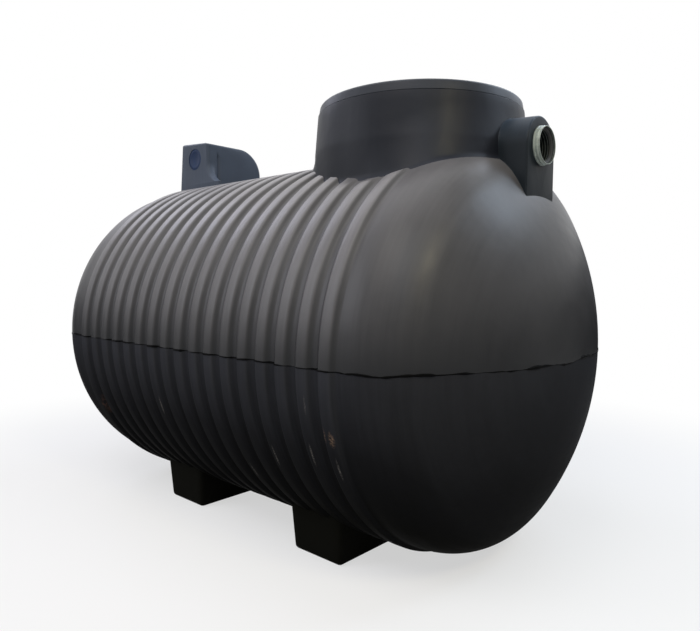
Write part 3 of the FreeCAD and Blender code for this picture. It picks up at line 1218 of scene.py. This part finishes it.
@dataclass
class AccessLid:
    """Round lid with a fine rebate under its edge, a drafted and bevelled rim and a dished middle."""

    centre: Vector
    radius: float
    under: float
    top: float
    draft: float = 5 * MM
    bevel: float = 7 * MM
    rebate: float = 2.5 * MM
    dish: float = 6 * MM
    border: float = 80 * MM
    edge_round: float = 2.5 * MM
    turn_steps: int = 144

    @classmethod
    def from_frame(cls) -> "AccessLid":
        """Read place and size from the CAD node.

        Returns:
            The lid.
        """
        low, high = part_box("access_lid")
        middle = (low + high) / 2
        return cls(Vector((middle.x, middle.y, 0)), (high.x - low.x) / 2, low.z, high.z)

    def build(self) -> bpy.types.Object:
        """Spin the rounded section.

        Returns:
            The lid's mesh.
        """
        edge = self.radius - self.draft
        border = edge - self.border
        section = [
            (0.0, self.under),
            (self.radius - self.rebate, self.under),
            (self.radius - self.rebate, self.under + self.rebate),
            (self.radius, self.under + self.rebate),
            (edge, self.top - self.bevel),
            (edge - self.bevel, self.top),
            (border, self.top),
            (border - self.bevel, self.top - self.dish),
            (0.0, self.top - self.dish),
        ]
        corners = [Vector((self.centre.x + radius, self.centre.y, z)) for radius, z in section]
        line = draw_line("access_lid_skin", corners)
        rounded = border - 2 * self.bevel
        pick_vertices(line, lambda place: (
            place.x - self.centre.x > rounded and place.z > self.under + 2 * self.rebate))
        round_picked(self.edge_round, 3, "VERTICES")
        spin(line, self.centre, AXIS_Z, FULL_TURN, self.turn_steps)
        smooth(line)
        return line


@dataclass
class InletHood:
    """Arched hood from the neck to the front plate, hollow, with a bored plate."""

    form: TankForm
    neck: Neck
    front: float
    half_width: float
    spring: float
    bore_height: float
    bore_radius: float = 60 * MM
    wall: float = 9 * MM
    edge_round: float = 5 * MM
    root_fillet: float = 4 * MM
    neck_fillet: float = 2 * MM
    back_lift: float = 7 * MM
    neck_overlap: float = 4 * MM
    sink: float = 3 * MM
    rows: int = 9
    stations: int = 14
    arch_steps: int = 32
    floor_steps: int = 8

    @classmethod
    def from_frame(cls, form: TankForm, neck: Neck) -> "InletHood":
        """Read place and size from the CAD nodes.

        Args:
            form: Form of the tank under the hood.
            neck: The neck behind the hood.

        Returns:
            The hood.
        """
        low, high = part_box("inlet_plate")
        bore_low, bore_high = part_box("inlet_socket")
        return cls(form, neck, high.x, high.y, high.z - high.y, (bore_low.z + bore_high.z) / 2)

    @property
    def bore(self) -> Vector:
        """Middle of the bore, in the face of the plate."""
        return Vector((self.front, 0, self.bore_height))

    @property
    def passage(self) -> Vector:
        """Middle of the passage, in the wall of the neck."""
        return Vector((self.neck.centre.x + self.neck.top_radius, 0, self.bore_height))

    def outline(self, half_width: float, base: float) -> list[Point]:
        """Closed outline of walls, arch and floor, across and up.

        Args:
            half_width: Half the width between the walls, and radius of the arch.
            base: Height of the floor.

        Returns:
            The corners, from the left foot over the arch to the right foot and back.
        """
        rises = [(step / self.rows) ** 2 for step in range(self.rows)]
        wall = [base + (self.spring - base) * rise for rise in rises]
        arch = arc_points((0.0, self.spring), half_width, 180, 0, self.arch_steps)
        shares = [1 - 2 * step / self.floor_steps for step in range(1, self.floor_steps)]
        floor = [(half_width * share, base) for share in shares]
        left = [(-half_width, height) for height in wall]
        right = [(half_width, height) for height in reversed(wall)]
        return left + arch + right + floor

    def build(self) -> bpy.types.Object:
        """Extrude the arch back to the neck, round its front, seat it, and hollow it out.

        Returns:
            The hood with its plate.
        """
        base = self.form.sunk
        reach = self.front - self.neck.centre.x - self.neck.top_radius
        outline = [Vector((self.front, y, z)) for y, z in self.outline(self.half_width, base)]
        piece = prism("inlet_hood_skin", outline, [-AXIS_X * reach / self.stations] * self.stations)
        pick_edges(piece, lambda a, b: min(a.x, b.x) > self.front - CLOSE and max(a.z, b.z) > base + CLOSE)
        round_picked(self.edge_round, 3, "EDGES")

        def seat(place: Vector) -> Vector:
            """Stretch a vertex to the round of the neck, and to the end below it.

            Args:
                place: Its place on the straight block.

            Returns:
                Its place on the seated hood.
            """
            back_share = (self.front - place.x) / reach
            radius = self.neck.radius_at(place.z)
            wall_x = self.neck.centre.x + math.sqrt(radius ** 2 - place.y ** 2) - self.neck_overlap
            place.x = self.front - back_share * (self.front - wall_x)
            if place.z < self.spring:
                floor = self.form.top_at(place.x, place.y) - self.sink
                share = (place.z - base) / (self.spring - base)
                place.z = floor + share * (self.spring - floor)
                off_plate = min((self.front - place.x) / self.half_width, 1.0)
                place.y += math.copysign(fillet(place.z - floor, self.root_fillet), place.y) * (
                    abs(place.y) / self.half_width * off_plate)
            else:
                place.z += self.back_lift * back_share
            middle = Vector((place.x, 0, min(place.z, self.spring)))
            outward = place - middle
            outward.normalize()
            return place + outward * fillet(place.x - wall_x, self.neck_fillet)

        reshape(piece, seat)
        close_up(piece)
        clear = self.outline(self.half_width - self.wall, base)
        inside = [Vector((self.front - self.wall, y, z)) for y, z in clear]
        hollow = prism("inlet_hood_hollow", inside, [-AXIS_X * 2 * reach])
        drill(piece, self.bore, AXIS_X, self.bore_radius, 4 * self.wall)
        subtract(piece, hollow)
        smooth(piece, degrees=35)
        return piece


@dataclass
class PipeSocket:
    """Grey pipe socket with a flange, a ring and a thin lip, and the rubber ring inside its mouth."""

    back: float
    front: float
    plate: float
    height: float
    radius: float
    bore: float = 55.2 * MM
    spigot: float = 60 * MM
    mouth: float = 62.6 * MM
    edge_round: float = 0.45 * MM
    turn_steps: int = 96

    @classmethod
    def from_frame(cls) -> "PipeSocket":
        """Read place and size from the CAD nodes.

        Returns:
            The socket.
        """
        low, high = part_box("inlet_socket")
        _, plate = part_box("inlet_plate")
        return cls(low.x, high.x, plate.x, (low.z + high.z) / 2, high.y)

    def spun(self, name: str, section: Sequence[Point]) -> bpy.types.Object:
        """Round the corners of a closed section and spin it about the bore.

        Args:
            name: Name of the piece.
            section: Place along the bore and radius of each corner.

        Returns:
            The ring.
        """
        points = [Vector((x, -radius, self.height)) for x, radius in section]
        line = draw_line(name, [*points, points[0]])
        pick_vertices(line, lambda place: True)
        round_picked(self.edge_round, 2, "VERTICES")
        spin(line, Vector((0, 0, self.height)), AXIS_X, FULL_TURN, self.turn_steps)
        smooth(line, degrees=50)
        return line

    def build_socket(self) -> bpy.types.Object:
        """Spin the collar: flange on the plate, groove, ring, fine groove, and a thin lip at the mouth.

        Returns:
            The socket's mesh.
        """
        flange = self.radius + 3.5 * MM
        ring = self.radius + 1.5 * MM
        groove = self.radius - 2 * MM
        outside = [
            (self.back, self.bore),
            (self.back, self.spigot),
            (self.plate, self.spigot),
            (self.plate, flange),
            (self.plate + 5 * MM, flange),
            (self.plate + 6 * MM, groove),
            (self.plate + 9 * MM, groove),
            (self.plate + 10 * MM, ring),
            (self.plate + 15 * MM, ring),
            (self.plate + 16 * MM, self.radius - 1 * MM),
            (self.front - 3 * MM, self.radius - 1 * MM),
            (self.front - 2 * MM, self.radius),
            (self.front, self.radius),
        ]
        inside = [
            (self.front, self.mouth),
            (self.front - 7 * MM, self.bore + 5 * MM),
            (self.front - 22 * MM, self.bore + 3 * MM),
            (self.front - 23 * MM, self.bore),
        ]
        return self.spun("inlet_socket_collar", outside + inside)

    def build_seal(self) -> bpy.types.Object:
        """Spin the ring and its two lips, which stand a little into the bore.

        Returns:
            The seal's mesh.
        """
        start = self.front - 20 * MM
        end = self.front - 8 * MM
        outer = self.bore + 6 * MM
        section = [
            (start, outer),
            (end, outer),
            (end, self.bore + 3.5 * MM),
            (end - 3 * MM, self.bore + 3 * MM),
            (end - 4 * MM, self.bore),
            (start + 5 * MM, self.bore + 2 * MM),
            (start + 4 * MM, self.bore - 2 * MM),
            (start, self.bore - 1 * MM),
        ]
        return self.spun("inlet_seal_ring", section)


@dataclass
class OutletTurret:
    """Raised outlet turret with a falling top, rounded to the back, with a web and a blank pipe pad."""

    form: TankForm
    middle: float
    front: float
    back: float
    top: float
    pad_height: float
    pad_radius: float
    length: float = 228 * MM
    far_corner: float = 7 * MM
    near_corner: float = 20 * MM
    back_corner: float = 30 * MM
    crown: float = 150 * MM
    edge_round: float = 9 * MM
    fall: float = 18 * MM
    bulge: float = 8 * MM
    far_draft: float = 26 * MM
    web_depth: float = 58 * MM
    web: float = 101 * MM
    web_start: float = 1655 * MM
    web_round: float = 26 * MM
    groove_width: float = 24 * MM
    groove_depth: float = 7 * MM
    groove_top: float = 1728 * MM
    pad_recess: float = 3 * MM
    near_side: float = 0.8
    draft_end: float = 1.2
    sink: float = 3 * MM
    corner_steps: int = 6
    web_steps: int = 6
    web_rows: int = 8
    web_row_turn: float = 10
    groove_steps: int = 8
    crown_start: float = 12
    crown_steps: int = 16
    pad_steps: int = 64

    @classmethod
    def from_frame(cls, form: TankForm) -> "OutletTurret":
        """Read place and size from the CAD nodes.

        Args:
            form: Form of the tank under the turret.

        Returns:
            The turret.
        """
        low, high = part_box("outlet_turret")
        pad_low, pad_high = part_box("outlet_pad")
        pad = (pad_low + pad_high) / 2
        return cls(form, pad.x, low.y, high.y, high.z, pad.z, (pad_high.x - pad_low.x) / 2)

    def outline(self) -> list[Point]:
        """Draw the plan of the turret, with close points where the web ends and the groove runs.

        Returns:
            The corners of the plan.
        """
        half = self.length / 2
        web_end = self.front + self.web_depth
        web_start = web_end - self.web_round
        stops = [web_start + self.web_round * step / self.web_steps for step in range(self.web_steps)]
        groove_places = range(self.groove_steps + 1)
        stops += [web_end + self.groove_width * step / self.groove_steps for step in groove_places]
        stops.append(web_end + 3 * self.groove_width)
        reach = half - self.back_corner
        behind = self.back - self.back_corner
        beside = (half - self.near_corner, self.front + self.near_corner)
        opposite = (self.far_corner - half, self.front + self.far_corner)
        near = arc_points(beside, self.near_corner, -90, 0, self.corner_steps)
        near += [(half, stop) for stop in stops]
        near += arc_points((reach, behind), self.back_corner, 0, 90, self.corner_steps)
        far = arc_points((-reach, behind), self.back_corner, 90, 180, self.corner_steps)
        far += [(-half, web_end)]
        far += arc_points(opposite, self.far_corner, 180, 270, self.corner_steps // 2)
        return [(self.middle + x, y) for x, y in near + far]

    def levels(self) -> list[float]:
        """Work out the heights of the rows: close where the web spreads, then round over the crown.

        Returns:
            The heights, from the lowest up.
        """
        foot = self.web_start - self.web
        rows = [self.form.sunk, foot - self.web_round, foot]
        turns = [math.radians(self.web_row_turn * step) for step in range(1, self.web_rows + 1)]
        rows += [foot + self.web * (1 - math.cos(turn)) for turn in turns]
        crown = arc_points(
            (0.0, self.top - self.crown), self.crown, self.crown_start, 90, self.crown_steps)
        rows += [height for _, height in crown]
        return sorted(rows)

    def build(self) -> bpy.types.Object:
        """Raise the plan row by row, then shape crown, web, groove, draft and falling top.

        Returns:
            The turret's mesh.
        """
        levels = self.levels()
        outline = [Vector((x, y, levels[0])) for x, y in self.outline()]
        steps = [AXIS_Z * (high - low) for low, high in zip(levels, levels[1:])]
        piece = prism("outlet_turret_skin", outline, steps)
        half = self.length / 2
        web_end = self.front + self.web_depth
        wall_height = self.top - self.form.top_at(self.middle, self.front)

        def shape(place: Vector) -> Vector:
            """Move a vertex of the straight block to its place on the turret.

            Args:
                place: Its place on the block.

            Returns:
                Its new place.
            """
            side = (place.x - self.middle) / half
            below = self.top - place.z
            into_crown = max(self.crown - below, 0.0)
            pulled = self.crown - math.sqrt(max(self.crown ** 2 - into_crown ** 2, 0.0))
            share = (place.y - self.front) / (self.back - self.front)
            inset = fillet(below, self.edge_round)
            if side > self.near_side:
                drop = min(max(self.web_start - place.z, 0.0), self.web)
                spread = self.web - math.sqrt(self.web ** 2 - drop ** 2)
                place.x += spread * (1 - smooth_step(place.y, web_end - self.web_round, web_end))
                across = min(max((place.y - web_end) / self.groove_width, 0.0), 1.0)
                fade = smooth_step(self.groove_top - place.z, 0.0, self.web_round)
                place.x -= self.groove_depth * math.sin(HALF_TURN * across) ** 2 * fade
            place.x -= self.far_draft * min(below / wall_height, self.draft_end) * max(-side, 0.0)
            place.x -= inset * side
            if share < 0.5:
                place.y += inset * (1 - 2 * share)
            place.y -= pulled * share
            lift = self.bulge * (1 - side ** 2) - self.fall * (side + 1) / 2
            place.z += lift * max(1 - below / self.crown, 0.0)
            if place.z < levels[0] + MM:
                place.z = self.form.top_at(place.x, place.y) - self.sink
            return place

        reshape(piece, shape)
        close_up(piece)
        pad = Vector((self.middle, self.front, self.pad_height))
        drill(piece, pad, AXIS_Y, self.pad_radius, 4 * self.pad_recess)
        smooth(piece, degrees=32)
        return piece

    def build_pad(self) -> bpy.types.Object:
        """Turn the blank pad: a flat disc that fills its recess, with a soft raised ring near its edge.

        Returns:
            The pad's mesh.
        """
        face = self.front + self.pad_recess
        rim = self.pad_radius + 0.5 * MM
        ring = self.pad_radius - 7 * MM
        section = [
            (0.0, face + 5 * MM),
            (rim, face + 5 * MM),
            (rim, face - 0.5 * MM),
            (ring, face - 1 * MM),
            (ring - 3 * MM, face - 1.5 * MM),
            (ring - 8 * MM, face - 1.5 * MM),
            (ring - 12 * MM, face),
            (0.0, face),
        ]
        line = draw_line("outlet_pad_disc", [
            Vector((self.middle + radius, depth, self.pad_height)) for radius, depth in section])
        spin(line, Vector((self.middle, 0, self.pad_height)), AXIS_Y, FULL_TURN, self.pad_steps)
        smooth(line)
        return line


@dataclass
class SaddleFoot:
    """Saddle foot under the barrel, narrower towards the floor, with soft edges."""

    form: TankForm
    node: str
    middle: float
    half_length: float = 124 * MM
    half_width: float = 442 * MM
    draft: float = 0.067
    edge_round: float = 16 * MM
    overlap: float = 4 * MM
    flank: float = 13 * MM
    stations: int = 6
    saddle_steps: int = 28

    @classmethod
    def from_frame(cls, form: TankForm, node: str) -> "SaddleFoot":
        """Read the foot's place from its CAD node."""
        low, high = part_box(node)
        return cls(form, node, (low.x + high.x) / 2)

    def build(self) -> bpy.types.Object:
        """Extrude the saddle outline along the tank, round its edges and draft its sides.

        Returns:
            The foot's mesh.
        """
        form = self.form
        seat_radius = form.valley - self.overlap
        end_height = form.axis_height - math.sqrt(seat_radius ** 2 - (self.half_width + self.flank) ** 2)
        end_width = self.half_width + self.draft * end_height
        end_angle = math.degrees(math.asin(end_width / seat_radius))
        saddle = arc_points(
            (0.0, form.axis_height), seat_radius, end_angle - 90, -end_angle - 90, self.saddle_steps)
        outline = [(-self.half_width, 0.0), (self.half_width, 0.0)] + saddle
        start = self.middle - self.half_length
        piece = prism(
            self.node + "_skin", [Vector((start, y, z)) for y, z in outline],
            [AXIS_X * 2 * self.half_length / self.stations] * self.stations)

        def on_saddle(place: Vector) -> bool:
            """Tell whether a vertex lies against the barrel."""
            return abs(Vector((place.y, place.z - form.axis_height)).length - seat_radius) < MM

        ends = (start, start + 2 * self.half_length)

        def outer(a: Vector, b: Vector) -> bool:
            """Tell whether an edge is one of the foot's own corners.

            Args:
                a: Place of its one end.
                b: Place of its other end.

            Returns:
                True for a corner that is rounded.
            """
            if on_saddle(a) and on_saddle(b):
                return False
            along_floor = max(a.z, b.z) < MM and abs(a.y - b.y) < MM
            at_end = abs(a.x - b.x) < MM and min(abs(a.x - end) for end in ends) < MM
            return at_end or along_floor

        pick_edges(piece, outer)
        round_picked(self.edge_round, 3, "EDGES")

        def taper(place: Vector) -> Vector:
            """Draft the long sides.

            Args:
                place: A vertex of the straight foot.

            Returns:
                Its drafted place.
            """
            reach = place.x - self.middle
            place.x = self.middle + reach * (1 + self.draft * place.z / self.half_length)
            return place

        reshape(piece, taper)
        close_up(piece)
        smooth(piece)
        return piece


@dataclass(frozen=True)
class SoftLamp:
    """A square soft lamp aimed at the middle of the tank."""

    name: str
    place: tuple[float, float, float]
    size: float
    power: float
    colour: str
    aim: tuple[float, float, float] = (0.0, 0.0, 0.8)

    def build(self) -> bpy.types.Object:
        """Hang the lamp.

        Returns:
            The lamp.
        """
        lamp = bpy.data.lights.new(self.name, "AREA")
        lamp.size = self.size
        lamp.energy = self.power
        lamp.color = linear(self.colour)[:3]
        holder = bpy.data.objects.new(self.name, lamp)
        bpy.context.scene.collection.objects.link(holder)
        place = Vector(self.place)
        holder.visible_camera = False
        holder.matrix_world = Matrix.LocRotScale(
            place, (Vector(self.aim) - place).to_track_quat("-Z", "Y"), None)
        return holder


STUDIO_LAMPS = (
    SoftLamp("overhead", (-0.3, -0.1, 5.2), 3.2, 53.0, "#f8f8ff"),
    SoftLamp("behind_high", (1.0, 3.4, 4.4), 2.6, 80.0, "#e0ecff"),
    SoftLamp("far_left_high", (-3.9, -0.6, 4.6), 2.4, 64.0, "#e8eaff"),
    SoftLamp("front_left", (-2.6, -4.2, 3.4), 2.6, 96.0, "#f4f6ff"),
    SoftLamp("front_high", (1.0, -3.2, 4.6), 2.6, 100.0, "#fffaf6"),
    SoftLamp("sky_right", (3.3, 2.5, 4.1), 1.5, 76.0, "#d8eaff"),
    SoftLamp("camera_high", (3.0, -3.0, 4.2), 2.2, 56.0, "#f2f8ff"),
    SoftLamp("warm_right", (4.5, -1.6, 4.1), 1.0, 78.0, "#fff4d0"),
)


@dataclass(frozen=True)
class BlackFlag:
    """An upright black cloth that only reflections see, so that an edge of the tank stays dark."""

    name: str
    start: Point
    end: Point
    top: float
    bottom: float = -0.2

    def build(self, cloth: bpy.types.Material) -> bpy.types.Object:
        """Stand the flag between its two ends.

        Args:
            cloth: Finish of the flag.

        Returns:
            The flag.
        """
        deselect_everything()
        bpy.ops.mesh.primitive_plane_add(size=1)
        flag = name_new(self.name)
        start = Vector((*self.start, self.bottom))
        end = Vector((*self.end, self.bottom))

        def stand(place: Vector) -> Vector:
            """Set a corner of the flat square upright."""
            return start.lerp(end, place.x + 0.5) + AXIS_Z * (self.top - self.bottom) * (place.y + 0.5)

        reshape(flag, stand)
        flag.data.materials.append(cloth)
        flag.visible_camera = False
        flag.visible_diffuse = False
        flag.visible_shadow = False
        return flag


STUDIO_FLAGS = (
    BlackFlag("flag_behind", (-0.1, 4.2), (4.9, 4.2), 1.8),
    BlackFlag("flag_at_inlet_end", (6.0, 0.7), (6.0, 4.2), 1.3),
    BlackFlag("flag_at_far_end", (-5.0, -3.3), (-5.0, -0.6), 1.6),
)


@dataclass
class Studio:
    """Camera of the photograph's view, pale floor and soft light."""

    eye: Vector = field(default_factory=lambda: Vector((2.0475, -2.0393, 1.0640)))
    yaw: float = 48.06
    pitch: float = -4.24
    roll: float = 0.27
    focal_pixels: float = 611.7
    image_width: float = 700.0
    image_height: float = 631.0
    principal: Point = (351.5, 323.5)
    sensor: float = 36.0
    ambient: float = 0.08
    floor_size: float = 160.0
    floor_colour: str = "#e2e2e2"
    white: str = "#ffffff"
    cloth_colour: str = "#000000"

    def build_camera(self) -> bpy.types.Object:
        """Place the camera where the photograph was taken from.

        Returns:
            The camera.
        """
        yaw, pitch, roll = (math.radians(angle) for angle in (self.yaw, self.pitch, self.roll))
        ahead = Vector((-math.cos(yaw) * math.cos(pitch), math.sin(yaw) * math.cos(pitch), math.sin(pitch)))
        level = ahead.cross(AXIS_Z).normalized()
        upright = level.cross(ahead)
        right = level * math.cos(roll) + upright * math.sin(roll)
        up = upright * math.cos(roll) - level * math.sin(roll)
        data = bpy.data.cameras.new("photo_camera")
        data.sensor_fit = "HORIZONTAL"
        data.sensor_width = self.sensor
        data.lens = self.focal_pixels / self.image_width * self.sensor
        data.shift_x = (self.image_width / 2 - self.principal[0]) / self.image_width
        data.shift_y = (self.principal[1] - self.image_height / 2) / self.image_width
        camera = bpy.data.objects.new("photo_camera", data)
        bpy.context.scene.collection.objects.link(camera)
        turn = Matrix((right, up, -ahead)).transposed().to_4x4()
        camera.matrix_world = Matrix.Translation(self.eye) @ turn
        bpy.context.scene.camera = camera
        return camera

    def build_floor(self, shadow_reach: float = 1.6, white_reach: float = 3.6, lift: float = 0.6
                    ) -> bpy.types.Object:
        """Lay a wide pale floor that keeps the shadow and whitens away from the tank.

        Args:
            shadow_reach: Distance from the middle up to which the shadow shows.
            white_reach: Distance beyond which the floor is plain white.
            lift: How white the floor is made near the tank, from nothing to one.

        Returns:
            The floor.
        """
        deselect_everything()
        bpy.ops.mesh.primitive_plane_add(size=self.floor_size, location=(0, 0, 0))
        floor = name_new("studio_floor")
        material, tree, shader = new_material("pale_studio_floor")
        shader.inputs["Base Color"].default_value = linear(self.floor_colour)
        shader.inputs["Roughness"].default_value = 0.95
        shader.inputs["Specular IOR Level"].default_value = 0.0
        place = add_node(tree, "ShaderNodeTexCoord").outputs["Object"]
        far = add_node(tree, "ShaderNodeVectorMath", {0: place}, operation="LENGTH")
        whitened = add_node(tree, "ShaderNodeMapRange", {
            "Value": far.outputs["Value"], "From Min": shadow_reach, "From Max": white_reach,
            "To Min": lift, "To Max": 1.0}, interpolation_type="SMOOTHSTEP")
        seen = add_node(tree, "ShaderNodeMath", {0: whitened.outputs[0], 1: seen_rays(tree)},
                        operation="MULTIPLY")
        white = add_node(tree, "ShaderNodeEmission", {"Color": linear(self.white), "Strength": 1.0})
        mixed = add_node(tree, "ShaderNodeMixShader", {
            0: seen.outputs[0], 1: shader.outputs[0], 2: white.outputs[0]})
        tree.links.new(mixed.outputs[0], tree.nodes["Material Output"].inputs["Surface"])
        floor.data.materials.append(material)
        return floor

    def build_world(self) -> bpy.types.World:
        """Surround the scene with white for the eye and for reflections, dimmer as light.

        Returns:
            The world.
        """
        world = bpy.data.worlds.new("studio_world")
        bpy.context.scene.world = world
        world.use_nodes = True
        tree = world.node_tree
        background = tree.nodes["Background"]
        background.inputs["Color"].default_value = linear(self.white)
        strength = add_node(tree, "ShaderNodeMapRange", {
            "Value": seen_rays(tree), "To Min": self.ambient, "To Max": 1.0})
        tree.links.new(strength.outputs[0], background.inputs["Strength"])
        return world

    def build_flags(self) -> None:
        """Stand the flags round the tank."""
        material, _, shader = new_material("black_studio_cloth")
        shader.inputs["Base Color"].default_value = linear(self.cloth_colour)
        shader.inputs["Specular IOR Level"].default_value = 0.0
        for flag in STUDIO_FLAGS:
            flag.build(material)

    def build_lamps(self) -> None:
        """Hang the soft lamps."""
        for lamp in STUDIO_LAMPS:
            lamp.build()


PALE_SCUFF = "#9e9992"
DRIED_MUD = "#876e59"
RUSTY_STAIN = "#533d32"


def lower_marks() -> tuple[Mark, ...]:
    """List the scuffs, the mud and the stain on the lower half.

    Returns:
        The marks, with places and sizes in millimetres.
    """
    return (
        Mark((792, -727, 577), 15, 32, DRIED_MUD, 0.65),
        Mark((760, -733, 585), 12, 30, DRIED_MUD, 0.45),
        Mark((-742, -681, 456), 40, 60, RUSTY_STAIN, 0.6, 20),
        Mark((-183, -716, 542), 6, 50, PALE_SCUFF, 0.3, 4),
        Mark((290, -618, 350), 6, 45, PALE_SCUFF, 0.25, 4),
        Mark((484, -682, 459), 6, 50, PALE_SCUFF, 0.3, 4),
        Mark((697, -749, 673), 5, 36, PALE_SCUFF, 0.2, 4),
        Mark((684, -702, 504), 6, 50, PALE_SCUFF, 0.3, 4),
        Mark((790, -690, 475), 6, 50, PALE_SCUFF, 0.3, 4),
    )


def moulded_skins(form: TankForm) -> dict[Skin, bpy.types.Material]:
    """Make the finishes of all moulded pieces.

    Args:
        form: Form of the tank, for the painted light and shade from the grooves to the crests of the ribs.

    Returns:
        One material for each skin.
    """
    on_ribs = {"barrel_radius": form.valley, "axis_height": form.axis_height}
    finishes = (
        # Dust and painted skylight grey the upper half where it looks up, most on the crests, with painted
        # shade in the grooves
        MouldedPolyethylene(
            Skin.DUST_AND_SKYLIGHT.value, body="#141517", dust_and_light="#7d7b7d",
            dust_and_light_stops=((0.0, 0.04), (0.2, 0.31), (0.5, 0.52), (0.9, 0.92)),
            roughness=0.38, specular=0.16, share_in_shaded_grooves=0.47, **on_ribs),
        # The turret has a thin bluish tint all over, painted skylight, heavier where it looks up
        MouldedPolyethylene(
            Skin.SKY_TINTED.value, body="#11141b", dust_and_light="#6b7688",
            dust_and_light_stops=((0.0, 0.26), (0.3, 0.29), (0.9, 0.42)), roughness=0.4, specular=0.1),
        # The pad on the turret is a deeper blue, a painted reflection of the sky
        MouldedPolyethylene(
            Skin.SKY_REFLECTING.value, body="#080d18", dust_and_light="#2a4878",
            dust_and_light_stops=((0.0, 0.22), (0.8, 0.4)), roughness=0.4, specular=0.1),
        # The neck is painted almost black, as shade on its upright wall, with next to no bloom
        MouldedPolyethylene(
            Skin.NECK_IN_SHADE.value, body="#090b11", dust_and_light="#4e5566",
            dust_and_light_stops=((0.0, 0.02), (0.9, 0.12)), roughness=0.44, specular=0.12),
        # The hood is painted as dark, as shade, with a blue-grey painted skylight on the top of its arch
        MouldedPolyethylene(
            Skin.HOODED.value, body="#0c1013", dust_and_light="#536478",
            dust_and_light_stops=((0.0, 0.02), (0.9, 0.22)), roughness=0.42, specular=0.1),
        # The lid is painted a paler charcoal than the neck below it, as light from above on it
        MouldedPolyethylene(
            Skin.LIDDED.value, body="#202227", dust_and_light="#606671",
            dust_and_light_stops=((0.0, 0.04), (0.9, 0.16)), roughness=0.42, specular=0.1),
        # Painted shade: the lower half is darker than the upper, and darker still towards the bottom
        # The lower half is matt and black, greyer just below the seam, scuffed and splashed with mud
        MouldedPolyethylene(
            Skin.BLACK.value, body="#090908", dust_and_light="#414247",
            dust_and_light_stops=((-0.7, 0.0), (-0.35, 0.14), (-0.1, 0.42), (0.1, 0.62)),
            roughness=0.6, specular=0.004, share_in_shaded_grooves=0.72, marks=lower_marks(), **on_ribs),
        # The feet are painted dull and brownish black, as shade under the barrel
        MouldedPolyethylene(
            Skin.SHADED.value, body="#0f0f0c", dust_and_light="#201f1c",
            dust_and_light_stops=((0.0, 0.1), (0.9, 0.3)), roughness=0.65, specular=0.006),
        # The torn flash is the blackest line on the tank
        MouldedPolyethylene(
            Skin.FLASH.value, body="#040404", dust_and_light="#0f0f0f",
            dust_and_light_stops=((0.0, 0.1), (0.9, 0.2)), roughness=0.6, specular=0.02),
    )
    return {Skin(finish.name): finish.make() for finish in finishes}


def main() -> None:
    """Build and dress the tank, then hand it over."""
    logging.basicConfig(level=logging.INFO, format="%(name)s %(message)s")
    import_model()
    bpy.context.scene.view_settings.view_transform = "Standard"
    studio = Studio()
    studio.build_camera()
    studio.build_floor()
    studio.build_world()
    studio.build_lamps()
    studio.build_flags()
    form = TankForm.from_frame()
    skins = moulded_skins(form)
    neck = Neck.from_frame(form)
    hood = InletHood.from_frame(form, neck)
    socket = PipeSocket.from_frame()
    turret = OutletTurret.from_frame(form)
    TankShell(form, neck.centre, neck.radius).dress(neck.inner, skins[Skin.DUST_AND_SKYLIGHT], skins[Skin.BLACK])
    hand_over(SeamBead(form).build(), skins[Skin.FLASH])
    hand_over(neck.build(hood.passage, hood.bore_radius), skins[Skin.NECK_IN_SHADE], neck.nodes())
    hand_over(AccessLid.from_frame().build(), skins[Skin.LIDDED], ["access_lid"])
    hand_over(hood.build(), skins[Skin.HOODED], ["inlet_hood", "inlet_plate"])
    pipe_grey = PipePlastic(socket.height, socket.mouth).make()
    hand_over(socket.build_socket(), pipe_grey, ["inlet_socket"])
    hand_over(socket.build_seal(), SealRubber().make(), ["inlet_seal"])
    hand_over(turret.build(), skins[Skin.SKY_TINTED], ["outlet_turret"])
    hand_over(turret.build_pad(), skins[Skin.SKY_REFLECTING], ["outlet_pad"])
    for node in ("inlet_foot", "far_foot"):
        hand_over(SaddleFoot.from_frame(form, node).build(), skins[Skin.SHADED], [node])


if __name__ == "__main__":
    main()
